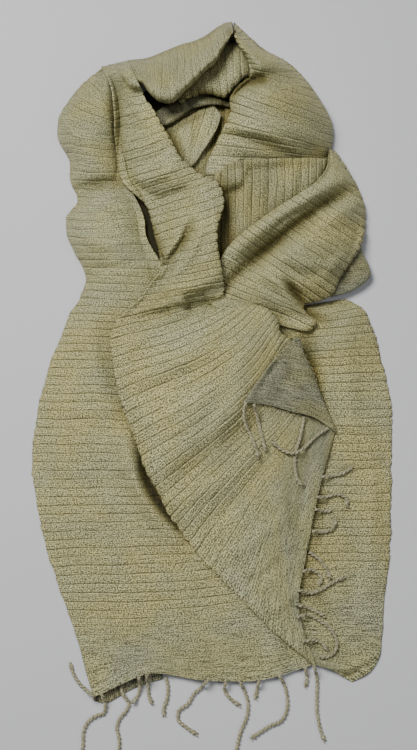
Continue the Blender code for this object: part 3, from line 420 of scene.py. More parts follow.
# Soft creases that only show: too shallow for the solids.
CREASES = {
    "left_tail": (
        Fold((64, 128), (84, 140), (108, 146), 5, 2.5),
        Fold((72, 104), (92, 116), (112, 122), 4, -2),
        Fold((74, 232), (100, 244), (140, 238), 6, 2.5),
        Fold((84, 262), (110, 268), (150, 256), 5, -2),
        Fold((70, 330), (92, 350), (104, 392), 7, 2.5),
        Fold((50, 400), (80, 412), (126, 404), 6, 1.8),
        Fold((40, 470), (84, 486), (132, 474), 8, -2),
        Fold((60, 420), (74, 500), (96, 580), 10, 3),
        Fold((96, 440), (112, 520), (140, 600), 9, -2.5),
        Fold((134, 520), (164, 580), (204, 640), 8, 2.5),
        Fold((180, 560), (208, 600), (244, 660), 7, -2),
        Fold((100, 640), (124, 656), (150, 660), 6, 2),
        Fold((196, 636), (202, 658), (206, 680), 5, 2),
        Fold((240, 640), (246, 660), (250, 680), 4, -1.6),
        Fold((268, 640), (276, 656), (280, 676), 3.5, 2.4),
        Fold((284, 638), (290, 654), (293, 672), 3.5, -2.2),
        Fold((296, 634), (304, 650), (308, 668), 3.5, 2.4),
        Fold((98, 690), (120, 680), (150, 664), 4, -2),
    ),
    "right_panel": (
        Fold((318, 404), (340, 424), (382, 420), 6, 2),
        Fold((330, 452), (352, 470), (386, 462), 7, -2),
        Fold((342, 330), (350, 380), (350, 440), 8, 2.5),
        Fold((366, 420), (372, 500), (370, 590), 7, 2),
        Fold((346, 500), (352, 560), (348, 610), 8, -2),
        Fold((330, 600), (350, 626), (372, 640), 6, 2),
        Fold((322, 662), (346, 668), (376, 654), 3, 2),
        Fold((326, 672), (346, 676), (366, 664), 2.5, -1.8),
    ),
    "side_corner": (
        Fold((330, 236), (346, 262), (366, 274), 4, 2),
        Fold((326, 262), (338, 276), (352, 288), 4, -2),
    ),
    "back_plate": (
        Fold((248, 168), (246, 196), (242, 226), 5, 2.5),
        Fold((272, 166), (270, 186), (266, 212), 5, -2.5),
        Fold((296, 164), (294, 180), (290, 196), 4, 2),
    ),
    "window_leaf": (
        Fold((172, 128), (178, 142), (184, 160), 3, -2.5),
        Fold((200, 110), (196, 134), (190, 158), 3, -1.5),
    ),
    "inner_band": (
        Fold((160, 104), (172, 108), (182, 106), 2.5, 1.6),
        Fold((194, 98), (200, 102), (206, 104), 2.5, 1.6),
    ),
    "inner_roll": (
        Fold((208, 72), (216, 80), (222, 92), 4, -2),
        Fold((226, 60), (234, 70), (240, 84), 4, 1.8),
    ),
    "right_crown": (
        Fold((256, 94), (290, 98), (322, 116), 7, 3),
        Fold((244, 108), (280, 114), (326, 134), 6, -2.5),
        Fold((262, 52), (280, 62), (300, 88), 6, 2.5),
        Fold((250, 44), (262, 54), (276, 64), 5, -2),
        Fold((230, 100), (240, 85), (260, 80), 6, -12),
    ),
    "top_band": (
        Fold((124, 66), (134, 74), (140, 84), 4, -2.5),
        Fold((150, 62), (158, 76), (160, 96), 5, 2.5),
        Fold((174, 54), (182, 68), (180, 92), 5, -2.5),
        Fold((198, 44), (206, 54), (206, 70), 5, 2),
    ),
    "diagonal_roll": (
        Fold((262, 230), (300, 262), (340, 262), 7, 3),
        Fold((284, 222), (320, 232), (356, 224), 7, -3),
        Fold((300, 204), (330, 212), (358, 204), 6, 3),
        Fold((270, 262), (296, 272), (322, 276), 6, -2.5),
        Fold((232, 262), (262, 276), (286, 290), 4, 2),
    ),
    "upper_tail": (
        Fold((122, 112), (134, 112), (146, 104), 4, 2.5),
        Fold((120, 128), (138, 128), (156, 116), 4, -2.5),
        Fold((122, 146), (144, 146), (164, 130), 4.5, 3),
        Fold((126, 162), (150, 160), (172, 144), 4, -2.5),
        Fold((132, 178), (158, 176), (182, 158), 4.5, 2.5),
        Fold((150, 196), (176, 192), (200, 174), 5, -2.5),
        Fold((190, 222), (178, 246), (160, 272), 3, -5),
        Fold((202, 226), (192, 252), (172, 278), 5, 5),
        Fold((160, 286), (190, 288), (220, 272), 6, 3),
        Fold((128, 318), (160, 312), (214, 296), 5, -2.5),
        Fold((126, 350), (170, 332), (222, 316), 7, 3),
        Fold((124, 392), (176, 378), (236, 336), 9, -3),
        Fold((134, 426), (180, 410), (240, 366), 8, 3),
        Fold((150, 450), (190, 432), (226, 400), 7, -2.5),
        Fold((170, 500), (216, 486), (270, 430), 8, 3),
        Fold((196, 530), (236, 500), (270, 452), 8, -2.5),
        Fold((216, 562), (256, 540), (304, 500), 8, 2.5),
        Fold((236, 590), (270, 570), (300, 552), 7, -2),
        Fold((262, 616), (284, 604), (296, 590), 5, 2),
        Fold((268, 440), (280, 500), (290, 570), 9, 2.5),
        Fold((306, 444), (304, 480), (296, 540), 6, -2),
    ),
    "corner_flap": (
        Fold((262, 376), (284, 392), (310, 414), 5, 2),
        Fold((288, 360), (302, 384), (322, 412), 5, -2),
    ),
}

# Painted shade: where the cloth is drawn darker in its creases, valleys, pits and shaded stretches. A fold's
# height is the share of the cavity shade, and what it has above 1 is the share of the pit shade.
PAINTED_SHADES = {
    "left_tail": (
        Fold((72, 188), (96, 184), (120, 184), 7, 0.5),
        Fold((98, 78), (78, 108), (84, 150), 24, 0.2),
        Fold((106, 96), (112, 116), (112, 138), 5, 0.5),
        Fold((108, 330), (112, 380), (138, 450), 9, 0.35),
        Fold((142, 466), (155, 497), (178, 527), 4, 2.0),
        Fold((98, 692), (124, 684), (158, 672), 5, 0.3),
    ),
    "right_panel": (
        Fold((306, 330), (312, 370), (318, 430), 9, 0.6),
        Fold((300, 310), (314, 316), (330, 320), 6, 0.9),
        Fold((318, 470), (316, 520), (310, 580), 8, 0.45),
        Fold((300, 582), (318, 600), (336, 616), 11, 0.35),
    ),
    "back_plate": (
        Fold((222, 178), (224, 214), (228, 254), 12, 1.0),
        Fold((222, 168), (262, 164), (326, 164), 4, 0.5),
        Fold((240, 190), (266, 190), (310, 180), 30, 0.35),
        Fold((330, 158), (328, 172), (322, 188), 4, 0.9),
    ),
    "window_floor": (
        Fold((164, 130), (176, 146), (184, 162), 5, 0.7),
        Fold((224, 122), (216, 144), (200, 174), 4, 0.6),
        Fold((196, 106), (212, 104), (230, 106), 7, 0.7),
    ),
    "window_leaf": (
        Fold((166, 130), (172, 146), (182, 164), 5, 0.6),
        Fold((172, 132), (188, 122), (214, 110), 3, 0.5),
    ),
    "inner_band": (
        Fold((168, 134), (178, 122), (211, 107), 3, 0.7),
        Fold((200, 98), (214, 100), (228, 106), 5, 0.8),
    ),
    "inner_roll": (
        Fold((190, 96), (210, 93), (228, 99), 5, 0.8),
    ),
    "right_crown": (
        Fold((228, 102), (240, 84), (262, 80), 6, 1.3),
        Fold((256, 84), (270, 76), (290, 76), 9, 0.5),
        Fold((224, 136), (258, 144), (296, 160), 4, 0.3),
    ),
    "top_band": (
        Fold((112, 74), (113, 84), (114, 92), 5, 0.4),
        Fold((126, 72), (170, 70), (214, 44), 26, 0.2),
        Fold((226, 30), (232, 34), (240, 40), 4, 0.5),
    ),
    "diagonal_roll": (
        Fold((342, 190), (286, 232), (216, 292), 6, 0.9),
        Fold((287, 283), (297, 296), (306, 309), 4, 1.3),
        Fold((300, 270), (326, 262), (350, 240), 24, 0.25),
        Fold((300, 334), (308, 334), (316, 326), 5, 0.7),
    ),
    "upper_tail": (
        Fold((116, 98), (114, 126), (118, 172), 6, 0.7),
        Fold((146, 210), (158, 244), (160, 262), 6, 0.9),
        Fold((192, 226), (182, 244), (164, 266), 4, 0.5),
        Fold((216, 298), (170, 314), (114, 332), 9, 0.2),
        Fold((118, 400), (140, 450), (160, 520), 12, 0.3),
        Fold((180, 470), (216, 450), (250, 428), 10, 0.3),
    ),
}

Fringe = namedtuple("Fringe", "name strands")

# Each strand runs through (across, down), from its root on the hem to its end.
FRINGES = (
    Fringe("fringe_lower", (
        ((94, 697), (87, 691), (79, 683), (73, 673), (70, 662)),
        ((101, 693), (105, 703), (104, 713), (96, 716), (89, 721), (84, 730), (83, 744), (80, 774)),
        ((120, 686), (124, 696), (129, 703), (126, 711), (120, 718), (117, 728), (119, 738), (116, 772)),
        ((139, 677), (140, 688), (137, 697), (131, 704)),
        ((147, 675), (148, 686), (149, 696), (153, 705)),
        ((166, 677), (168, 688), (167, 699), (164, 708), (164, 717)),
        ((209, 679), (202, 687), (194, 694), (188, 704), (179, 711), (178, 719), (186, 727), (198, 735)),
        ((226, 680), (225, 691), (232, 700), (241, 706)),
        ((239, 680), (245, 692), (248, 703), (247, 716), (241, 731), (237, 748), (234, 766)),
        ((260, 679), (257, 690), (255, 700)),
        ((279, 675), (284, 684), (287, 696), (287, 709), (281, 721), (270, 726), (259, 733), (250, 739)),
        ((305, 667), (307, 678), (305, 688)),
        ((314, 665), (317, 678), (317, 694), (317, 711), (320, 728), (325, 742)),
    )),
    Fringe("fringe_upper", (
        ((302, 642), (312, 640), (322, 643), (328, 651)),
        ((297, 617), (308, 615), (319, 620), (329, 628), (336, 638), (336, 649), (329, 656), (318, 657)),
        ((295, 604), (306, 607), (317, 612), (326, 617)),
        ((298, 590), (310, 593), (322, 589), (333, 582), (346, 576)),
        ((303, 571), (313, 570), (321, 577), (319, 586)),
        ((309, 552), (318, 558), (326, 568), (331, 580)),
        ((312, 531), (322, 532), (332, 529), (336, 519)),
        ((315, 509), (324, 511), (333, 510)),
        ((316, 497), (326, 497), (337, 494), (346, 498), (347, 508)),
        ((321, 477), (332, 476), (343, 473), (353, 466)),
    )),
    Fringe("fringe_corner", (
        ((246, 402), (244, 414), (247, 427), (252, 438), (256, 449), (259, 459)),
        ((254, 404), (257, 415), (260, 428), (263, 441), (266, 452)),
        ((304, 417), (302, 429), (299, 441), (295, 455), (295, 467), (297, 478), (303, 487)),
        ((328, 428), (319, 434), (312, 440), (304, 448), (295, 453), (286, 452), (278, 447), (272, 440)),
    )),
)


def table_points(places):
    """World points, in metres, of places given as (across, down, height) in the camera's view."""
    across, down, height = np.moveaxis(np.asarray(places, float), -1, 0)
    rise, reach = math.sin(EYE_ELEVATION), math.cos(EYE_ELEVATION)
    eye_back, eye_up = EYE_DISTANCE * reach, EYE_DISTANCE * rise
    share = (height - eye_up) / ((VIEW_DOWN - down) * reach - eye_up)
    x = share * (across - VIEW_ACROSS) - ORIGIN[0]
    y = share * ((VIEW_DOWN - down) * rise + eye_back) - eye_back - ORIGIN[1]
    return np.stack([x, y, height], axis=-1) * MM


def smooth_through(places, values, wanted):
    """A smooth curve through the values at the places, read where it is wanted."""
    places, values, wanted = (np.asarray(a, float) for a in (places, values, wanted))
    slopes = np.gradient(values, places, axis=0)
    left = np.clip(np.searchsorted(places, wanted, side="right") - 1, 0, len(places) - 2)
    span = (places[left + 1] - places[left])[:, None]
    t = (wanted - places[left])[:, None] / span
    return (
        (2 * t**3 - 3 * t**2 + 1) * values[left]
        + (t**3 - 2 * t**2 + t) * span * slopes[left]
        + (3 * t**2 - 2 * t**3) * values[left + 1]
        + (t**3 - t**2) * span * slopes[left + 1]
    )


def soft_noise(dice, shape, steps):
    """Random heights from -1 to 1 on a grid of this shape, that change smoothly over these steps of it."""
    field = dice.uniform(-1, 1, [math.ceil(n / step) + 2 for n, step in zip(shape, steps)])
    for axis, (count, step) in enumerate(zip(shape, steps)):
        at = np.arange(count) / step
        low = at.astype(int)
        t = (at - low)[:, None]
        t = t * t * (3 - 2 * t)
        field = np.moveaxis(field, axis, 0)
        field = np.moveaxis(field[low] * (1 - t) + field[low + 1] * t, 0, axis)
    return field


def fold_relief(across, down, folds):
    """How far the folds lift or sink the cloth at each place."""
    relief = np.zeros_like(across)
    t = np.linspace(0, 1, FOLD_STEPS)
    for fold in folds:
        start, middle, end = (np.array(at, float)[:, None] for at in (fold.start, fold.middle, fold.end))
        curve = (1 - t) * (1 - 2 * t) * start + 4 * t * (1 - t) * middle + t * (2 * t - 1) * end
        low, high = curve.min(axis=1) - 3 * fold.width, curve.max(axis=1) + 3 * fold.width
        near = (across > low[0]) & (across < high[0]) & (down > low[1]) & (down < high[1])
        gaps = np.hypot(across[near][:, None] - curve[0], down[near][:, None] - curve[1])
        nearest = gaps.argmin(axis=-1)
        fade = np.sin(np.pi * (FOLD_TAPER + (1 - 2 * FOLD_TAPER) * t))[nearest]
        relief[near] += fold.height * fade * np.exp(-((gaps.min(axis=-1) / fold.width) ** 2))
    return relief


def shifted(grid, axis):
    """The grid moved one step back, in place and one step on along an axis."""
    edges = [(1, 1) if a == axis else (0, 0) for a in range(grid.ndim)]
    wide = np.moveaxis(np.pad(grid, edges, mode="edge"), axis, 0)
    return [np.moveaxis(part, 0, axis) for part in (wide[:-2], wide[1:-1], wide[2:])]


def blurred(grid, rounds):
    """The grid with each point averaged with its neighbours, several times over."""
    for _ in range(rounds):
        for axis in (0, 1):
            back, here, on = shifted(grid, axis)
            grid = (back + 2 * here + on) / 4
    return grid


def widened(grid, rounds=1):
    """The grid with each point raised to the highest of its neighbours, several times over."""
    for _ in range(rounds):
        for axis in (0, 1):
            grid = np.max(shifted(grid, axis), axis=0)
    return grid


class Pile:
    """The height of everything that is laid so far, on a grid of one millimetre in the camera's view."""

    def __init__(self, across=460, down=900):
        self.top = np.zeros((down, across))

    def add(self, grid):
        """Lay a grid of (across, down, height) on the pile."""
        for axis in (0, 1):
            low, high = np.moveaxis(grid, axis, 0)[:-1], np.moveaxis(grid, axis, 0)[1:]
            between = np.stack([low, (low + high) / 2], axis=1).reshape(-1, *low.shape[1:])
            grid = np.moveaxis(np.concatenate([between, high[-1:]]), 0, axis)
        place = np.rint(grid[..., :2]).astype(int)
        np.maximum.at(self.top, (place[..., 1], place[..., 0]), grid[..., 2])

    def add_solid(self, mesh):
        """Lay a mesh on the pile, as the camera sees it."""
        tree = BVHTree.FromPolygons([v.co[:] for v in mesh.vertices], [p.vertices[:] for p in mesh.polygons])
        down, across = np.indices(self.top.shape)
        ground = table_points(np.stack([across, down, np.zeros(across.shape)], axis=-1))
        corners = np.array([v.co[:] for v in mesh.vertices])
        low, high = corners.min(axis=0) - corners[:, 2].max(), corners.max(axis=0) + corners[:, 2].max()
        near = ((ground > low) & (ground < high))[..., :2].all(axis=-1)
        eye = Vector(EYE)
        for row, column in np.argwhere(near):
            hit = tree.ray_cast(eye, Vector(ground[row, column]) - eye)[0]
            if hit:
                self.top[row, column] = max(self.top[row, column], hit.z / MM)

    def under(self, grid):
        """The highest thing under each point of a grid and right beside it."""
        place = np.rint(grid[..., :2]).astype(int)
        return widened(self.top)[place[..., 1], place[..., 0]]

    def cavity(self, grid):
        """How deep each point of a grid lies in its surroundings, from 0 to 1."""
        place = np.rint(grid[..., :2]).astype(int)
        around = blurred(self.top, CAVITY_ROUNDS)[place[..., 1], place[..., 0]]
        return np.clip((around - grid[..., 2]) / CAVITY_DEPTH, 0, 1)


def cloth_rows(stretch):
    """The stretch's sections at every ROW_STEP of its run, and the rib that each row lies on."""
    table = np.array([(*s.left, *s.right, s.crown, s.puff, *s.bows, s.ribs) for s in stretch.sections], float)
    left_steps = np.linalg.norm(np.diff(table[:, 0:3], axis=0), axis=1)
    right_steps = np.linalg.norm(np.diff(table[:, 3:6], axis=0), axis=1)
    run = np.concatenate([[0], np.cumsum((left_steps + right_steps) / 2)])
    longest = max(left_steps.sum(), right_steps.sum())
    count = INSIDE_STEP * math.ceil(longest / ROW_STEP / INSIDE_STEP)
    rib = np.linspace(0, run[-1] / RIB_PITCH, count + 1)
    return smooth_through(run, table, np.linspace(0, run[-1], count + 1)), rib


def edge_bulge(rib, ribbing, dice):
    """How far a selvedge stands out along its run: a scallop at each rib, and a little unevenness."""
    off = np.abs(rib - np.round(rib))
    uneven = soft_noise(dice, (len(rib), 1), (9, 1))[:, 0]
    return SCALLOP * np.clip(ribbing, 0, 1) * (1 - (1 - 2 * off) ** 3) * (1 + 0.5 * uneven) + 0.5 * uneven


def cloth_surface(stretch, dice):
    """The smooth form of a stretch as a grid of (across, down, height), with each row's rib and ribbing."""
    rows, rib = cloth_rows(stretch)
    ribbing = np.clip(rows[:, 11], 0, MOST_RIBBING)
    left, right = rows[:, None, 0:3].copy(), rows[:, None, 3:6].copy()
    crown, puff = rows[:, None, 6], np.clip(rows[:, None, 7], 0, 0.95)
    chord = right[..., :2] - left[..., :2]
    chord = chord / np.linalg.norm(chord, axis=-1, keepdims=True)
    free_from = FREE_SELVEDGES.get(stretch.name, (VIEW_TALL, VIEW_TALL))
    for edge, way, free in zip((left, right), (-1, 1), free_from):
        bulge = edge_bulge(rib, ribbing, dice) * np.clip((edge[:, 0, 1] - free) / RIB_PITCH, 0, 1)
        edge[..., :2] += way * chord * bulge[:, None, None]
    u = 0.5 - 0.5 * np.cos(np.linspace(0, np.pi, FINE_STEPS + 1))
    surface = left + (right - left) * u[:, None]
    bend = rows[:, 8:11] @ smooth_through((0, 0.25, 0.5, 0.75, 1), np.eye(5), u)[:, 1:4].T
    surface[..., 0] -= bend * chord[..., 1]
    surface[..., 1] += bend * chord[..., 0]
    surface[..., 2] += crown * (4 * u * (1 - u)) ** (1 - puff / 2)
    folds = stretch.folds + CREASES.get(stretch.name, ())
    surface[..., 2] += fold_relief(surface[..., 0], surface[..., 1], folds)
    surface[..., 2] = np.maximum(surface[..., 2], CLOTH)
    return spread_evenly(surface), rib, ribbing


def spread_evenly(surface):
    """The same rows with their points at even steps along the cloth, and about COLUMN_STEP apart."""
    steps = np.linalg.norm(np.diff(table_points(surface), axis=1), axis=2) / MM
    length = np.concatenate([np.zeros((len(surface), 1)), np.cumsum(steps, axis=1)], axis=1)
    columns = INSIDE_STEP * math.ceil(length[:, -1].max() / COLUMN_STEP / INSIDE_STEP)
    even = np.empty((len(surface), columns + 1, 3))
    for row in range(len(surface)):
        wanted = np.linspace(0, length[row, -1], columns + 1)
        for axis in range(3):
            even[row, :, axis] = np.interp(wanted, length[row], surface[row, :, axis])
    return even


def normals_of(points):
    """The unit normals of a grid of world points, on its upper side."""
    normal = np.cross(np.gradient(points, axis=0), np.gradient(points, axis=1))
    normal /= np.maximum(np.linalg.norm(normal, axis=-1, keepdims=True), 1e-12)
    return normal * np.sign(normal[..., 2].mean())


def depth_of_cloth(surface):
    """How far the inside lies under the surface, measured straight down."""
    upright = np.abs(normals_of(table_points(surface))[..., 2])
    return CLOTH * np.minimum(1 / np.maximum(upright, 1e-3), STEEPEST_WALL)


def settled(surface, pile):
    """The surface lifted softly wherever it would sink into what lies under it."""
    surface = surface.copy()
    for spread in (5, 4, 3, 2, 1, 0):
        below = pile.under(surface)
        lift = np.where(below > 0, below + CLEARANCE + depth_of_cloth(surface) - surface[..., 2], 0)
        lift = np.maximum(lift, 0)
        surface[..., 2] += blurred(widened(lift, spread), spread)
    return surface


def rib_relief(rib, ribbing, shape, dice):
    """The ribs as flat bands between narrow grooves, in millimetres, and the rib under each point."""
    rib = rib[:, None] + 0.10 * soft_noise(dice, shape, (60, 22)) + 0.05 * soft_noise(dice, shape, (9, 7))
    off = rib - np.round(rib)
    depth = 0.85 + 0.6 * soft_noise(dice, shape, (40, 30)) + 0.5 * soft_noise(dice, shape, (10, 12))
    depth = np.clip(depth, 0.1, 2.0) * ribbing[:, None]
    band = BAND_HEIGHT * (1 - (1 - 2 * np.abs(off)) ** 6)
    lip = LIP_HEIGHT * np.exp(-(((off * RIB_PITCH - LIP_PLACE) / LIP_WIDTH) ** 2))
    return depth * (band + lip - RIB_SINK), rib


def crinkle(shape, dice):
    """Soft wrinkles and the crepe's puckers, in millimetres."""
    return sum(height * soft_noise(dice, shape, steps) for height, steps in CRINKLES)


def edge_rounding(shape):
    """How far the cloth's four edges turn down, in millimetres."""
    rows, columns = (np.minimum(np.arange(n), np.arange(n)[::-1]) for n in shape)
    turns = (np.exp(-steps / EDGE_STEPS) for steps in (columns[None, :], rows[:, None]))
    return sum(EDGE_TURN * turn for turn in turns)


def shell_mesh(name, outside, inside, maps):
    """A closed thin shell from a fine outside grid and an inside grid of every fourth point."""
    rows, columns = outside.shape[:2]
    step = INSIDE_STEP
    index = np.arange(rows * columns).reshape(rows, columns)
    inner = rows * columns + np.arange(inside[..., 0].size).reshape(inside.shape[:2])

    def quads(grid):
        return np.stack([grid[:-1, :-1], grid[1:, :-1], grid[1:, 1:], grid[:-1, 1:]], axis=-1).reshape(-1, 4)

    def rim(fine, coarse):
        spans = range(len(coarse) - 1)
        return [[*fine[step * i:step * i + step + 1], coarse[i + 1], coarse[i]] for i in spans]

    faces = quads(index).tolist() + quads(inner)[:, ::-1].tolist()
    faces += rim(index[:, -1].tolist(), inner[:, -1].tolist())
    faces += rim(index[0, ::-1].tolist(), inner[0, ::-1].tolist())
    faces += rim(index[::-1, 0].tolist(), inner[::-1, 0].tolist())
    faces += rim(index[-1].tolist(), inner[-1].tolist())
    points = np.concatenate([outside.reshape(-1, 3), inside.reshape(-1, 3)])
    mesh = bpy.data.meshes.new(name)
    mesh.from_pydata(points.tolist(), [], [face[::-1] for face in faces] if upside_down(outside) else faces)
    corners = np.empty(len(mesh.loops), int)
    mesh.loops.foreach_get("vertex_index", corners)
    for map_name, values in maps.items():
        flat = np.concatenate([values.reshape(-1, 2), values[::step, ::step].reshape(-1, 2)])
        layer = mesh.uv_layers.new(name=map_name)
        layer.data.foreach_set("uv", flat[corners].astype(np.float32).ravel())
    mesh.shade_smooth()
    return mesh


def upside_down(grid):
    """Whether a grid's rows and columns turn the other way than its upper side."""
    normal = np.cross(np.gradient(grid, axis=0), np.gradient(grid, axis=1))
    return normal[..., 2].mean() < 0


Cloth = namedtuple("Cloth", "stretch surface relief rib ribbing")


def lay_cloth(stretch, pile, dice):
    """One stretch of cloth, laid on the pile with its ribs, puckers and soft edges."""
    surface, rib, ribbing = cloth_surface(stretch, dice)
    shape = surface.shape[:2]
    surface = settled(surface, pile)
    relief, rib = rib_relief(rib, ribbing, shape, dice)
    from_edge = np.minimum(np.arange(shape[1]), np.arange(shape[1])[::-1])
    relief += crinkle(shape, dice) * np.minimum(from_edge / 4, 1) - edge_rounding(shape)
    top = surface.copy()
    top[..., 2] += np.maximum(relief, 0.2)
    pile.add(top)
    return Cloth(stretch, surface, relief, rib, ribbing)


def make_cloth(cloth, pile, material):
    """The thin shell of a stretch that was laid, with painted shade wherever it lies deep in the pile."""
    stretch, surface, relief, rib, ribbing = cloth
    inside = surface[::INSIDE_STEP, ::INSIDE_STEP].copy()
    inside[..., 2] -= depth_of_cloth(surface)[::INSIDE_STEP, ::INSIDE_STEP]
    inside[..., 2] = np.maximum(inside[..., 2], 0)
    points = table_points(surface)
    outside = points + normals_of(points) * relief[..., None] * MM
    outside[..., 2] = np.maximum(outside[..., 2], 0.5 * MM)

    steps = np.linalg.norm(np.diff(points, axis=1), axis=2)
    width = np.concatenate([np.zeros((len(steps), 1)), np.cumsum(steps, axis=1)], axis=1)
    # Painted shade: darker where the cloth lies deep in the pile, and along the listed creases, valleys and
    # pits.
    painted_shade = pile.cavity(surface) + fold_relief(surface[..., 0], surface[..., 1], PAINTED_SHADES.get(stretch.name, ()))
    grooves = np.broadcast_to(np.minimum(ribbing, 1)[:, None], painted_shade.shape)
    tail = np.clip((surface[..., 1] - HEAP_END) / (TAILS_START - HEAP_END), 0, 1)
    maps = {
        "cloth": np.stack([width / MM / MAP_UNIT, rib], axis=-1),
        "shade": np.stack([grooves, np.clip(painted_shade, 0, 2)], axis=-1),
        "grain": np.stack([SOFT_GRAIN + (1 - SOFT_GRAIN) * tail, tail], axis=-1),
    }
    name = stretch.name + "_cloth"
    piece = add_object(name, shell_mesh(name, outside, table_points(inside), maps))
    piece.data.materials.append(material)
    stand_in_for(piece, stretch.name)


def add_object(name, data):
    """A new object in the scene."""
    made = bpy.data.objects.new(name, data)
    bpy.context.collection.objects.link(made)
    return made


def stand_in_for(piece, name):
    """Tie a piece to the frame, in the place of one of its solids."""
    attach(piece, "root")
    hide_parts(name)


def node(tree, kind, **values):
    """A shader node with the given attributes and input values."""
    made = tree.nodes.new("ShaderNode" + kind)
    for key, value in values.items():
        if hasattr(made, key):
            setattr(made, key, value)
        else:
            made.inputs[key.replace("_", " ")].default_value = value
    return made


def math_output(tree, operation, *values, clamp=False):
    """The output of a math node, whose inputs are numbers or other nodes' outputs."""
    made = node(tree, "Math", operation=operation, use_clamp=clamp)
    for socket, value in zip(made.inputs, values):
        if isinstance(value, (int, float)):
            socket.default_value = value
        else:
            tree.links.new(value, socket)
    return made.outputs[0]


def noise_output(tree, place, scale, detail, roughness):
    """The output of a flat noise over a place on the cloth, with its own scale along and across the ribs."""
    at = node(tree, "Mapping", Scale=(*scale, 1))
    tree.links.new(place, at.inputs[0])
    made = node(tree, "TexNoise", noise_dimensions="2D", Scale=1.0, Detail=detail, Roughness=roughness)
    tree.links.new(at.outputs[0], made.inputs["Vector"])
    return made.outputs[0]


def ramp_output(tree, value, low, high):
    """The colour of a value between two stops, each a place and a colour."""
    made = node(tree, "ValToRGB")
    for element, (place, colour) in zip(made.color_ramp.elements, (low, high)):
        element.position = place
        element.color = (*colour, 1)
    tree.links.new(value, made.inputs[0])
    return made.outputs[0]


def mixed(tree, kind, share, first, second):
    """The output of a colour mix. Its share is a number or an output, and its colours tuples or outputs."""
    made = node(tree, "MixRGB", blend_type=kind)
    for socket, value in zip(made.inputs, (share, first, second)):
        if isinstance(value, (int, float)):
            socket.default_value = value
        elif isinstance(value, tuple):
            socket.default_value = (*value, 1)
        else:
            tree.links.new(value, socket)
    return made.outputs[0]


def scaled(colour, share):
    """A colour made lighter or darker."""
    return tuple(min(channel * share, 1) for channel in colour)


def map_values(tree, name):
    """The two values of one of the cloth's maps."""
    parts = node(tree, "SeparateXYZ")
    tree.links.new(node(tree, "UVMap", uv_map=name).outputs[0], parts.inputs[0])
    return parts.outputs[:2]


def new_material(name, values):
    """A material with these values on its shader. Returns it with its nodes and the shader."""
    made = bpy.data.materials.new(name)
    made.use_nodes = True
    shader = made.node_tree.nodes["Principled BSDF"]
    for key, value in values.items():
        shader.inputs[key].default_value = value
    return made, made.node_tree, shader


def silk_patterns(tree, across, rib):
    """The noises over the cloth: its beads, weft lines, tint and the patches where its ribs fade."""
    place = node(tree, "CombineXYZ")
    tree.links.new(math_output(tree, "MULTIPLY", across, MAP_UNIT), place.inputs[0])
    tree.links.new(math_output(tree, "MULTIPLY", rib, RIB_PITCH), place.inputs[1])
    return [noise_output(tree, place.outputs[0], *pattern) for pattern in (BEADS, WEFT, TINT, PATCHES)]


def silk_grain(tree, beads, weft, rib, ribbing, strength):
    """The crepe's beads and weft lines as one value, which strays from 0.5 as far as its strength says."""
    wavy = math_output(tree, "MULTIPLY_ADD", weft, 0.3, rib)
    rows = math_output(tree, "COSINE", math_output(tree, "MULTIPLY", wavy, 2 * math.pi * ROWS_TO_A_RIB))
    bead_share = math_output(tree, "MULTIPLY_ADD", ribbing, 0.25, 0.6)
    grain = math_output(tree, "MULTIPLY", beads, bead_share)
    grain = math_output(tree, "MULTIPLY_ADD", weft, math_output(tree, "SUBTRACT", 1.0, bead_share), grain)
    grain = math_output(tree, "MULTIPLY_ADD", rows, 0.03, grain)
    return math_output(tree, "MULTIPLY_ADD", math_output(tree, "SUBTRACT", grain, 0.5), strength, 0.5)


def silk_ribs(tree, beads, patches, rib, ribbing):
    """The groove between two ribs and the lip beside it, each from 0 to 1 and faded in patches."""
    off = math_output(tree, "SUBTRACT", rib, math_output(tree, "ROUND", rib))
    in_groove = math_output(tree, "MULTIPLY_ADD", math_output(tree, "ABSOLUTE", off), -9.0, 1.0, clamp=True)
    broken = math_output(tree, "MULTIPLY_ADD", beads, 6.0, -2.5, clamp=True)
    patchy = math_output(tree, "MULTIPLY_ADD", patches, 3.5, -0.8, clamp=True)
    groove = math_output(tree, "MULTIPLY", math_output(tree, "MULTIPLY", in_groove, ribbing), broken)
    from_lip = math_output(tree, "ABSOLUTE", math_output(tree, "SUBTRACT", off, LIP_PLACE / RIB_PITCH))
    on_lip = math_output(tree, "MULTIPLY_ADD", from_lip, -10.0, 1.0, clamp=True)
    lip = math_output(tree, "MULTIPLY", on_lip, ribbing)
    return [math_output(tree, "MULTIPLY", part, patchy) for part in (groove, lip)]


def silk_colour(tree, colour, grain, tint, tail, ribbing, groove, painted_shade):
    """The silk's colour: tinted by place, with painted shade over the heap and in its grooves, cavities and
    pits.
    """
    base = ramp_output(tree, grain, *((place, scaled(colour, share)) for place, share in GRAIN_STOPS))
    tinted = mixed(tree, "MULTIPLY", 1.0, base, ramp_output(tree, tint, *TINT_STOPS))
    # Painted shade over the heap, fading out towards the tails.
    tinted = mixed(tree, "MULTIPLY", math_output(tree, "SUBTRACT", 1.0, tail), tinted, HEAP_SHADE)
    plainness = math_output(tree, "SUBTRACT", 1.0, ribbing, clamp=True)
    tinted = mixed(tree, "MULTIPLY", plainness, tinted, PLAIN_TINT)
    # Painted shade in the rib grooves.
    grooved = mixed(tree, "MIX", math_output(tree, "MULTIPLY", groove, GROOVE_SHARE), tinted, GROOVE_SHADE)
    # Painted shade in cavities, and a deeper painted shade in pits.
    shaded = mixed(tree, "MULTIPLY", math_output(tree, "MINIMUM", painted_shade, 1.0), grooved, CAVITY_SHADE)
    pit = math_output(tree, "SUBTRACT", painted_shade, 1.0, clamp=True)
    return mixed(tree, "MULTIPLY", pit, shaded, PIT_SHADE)


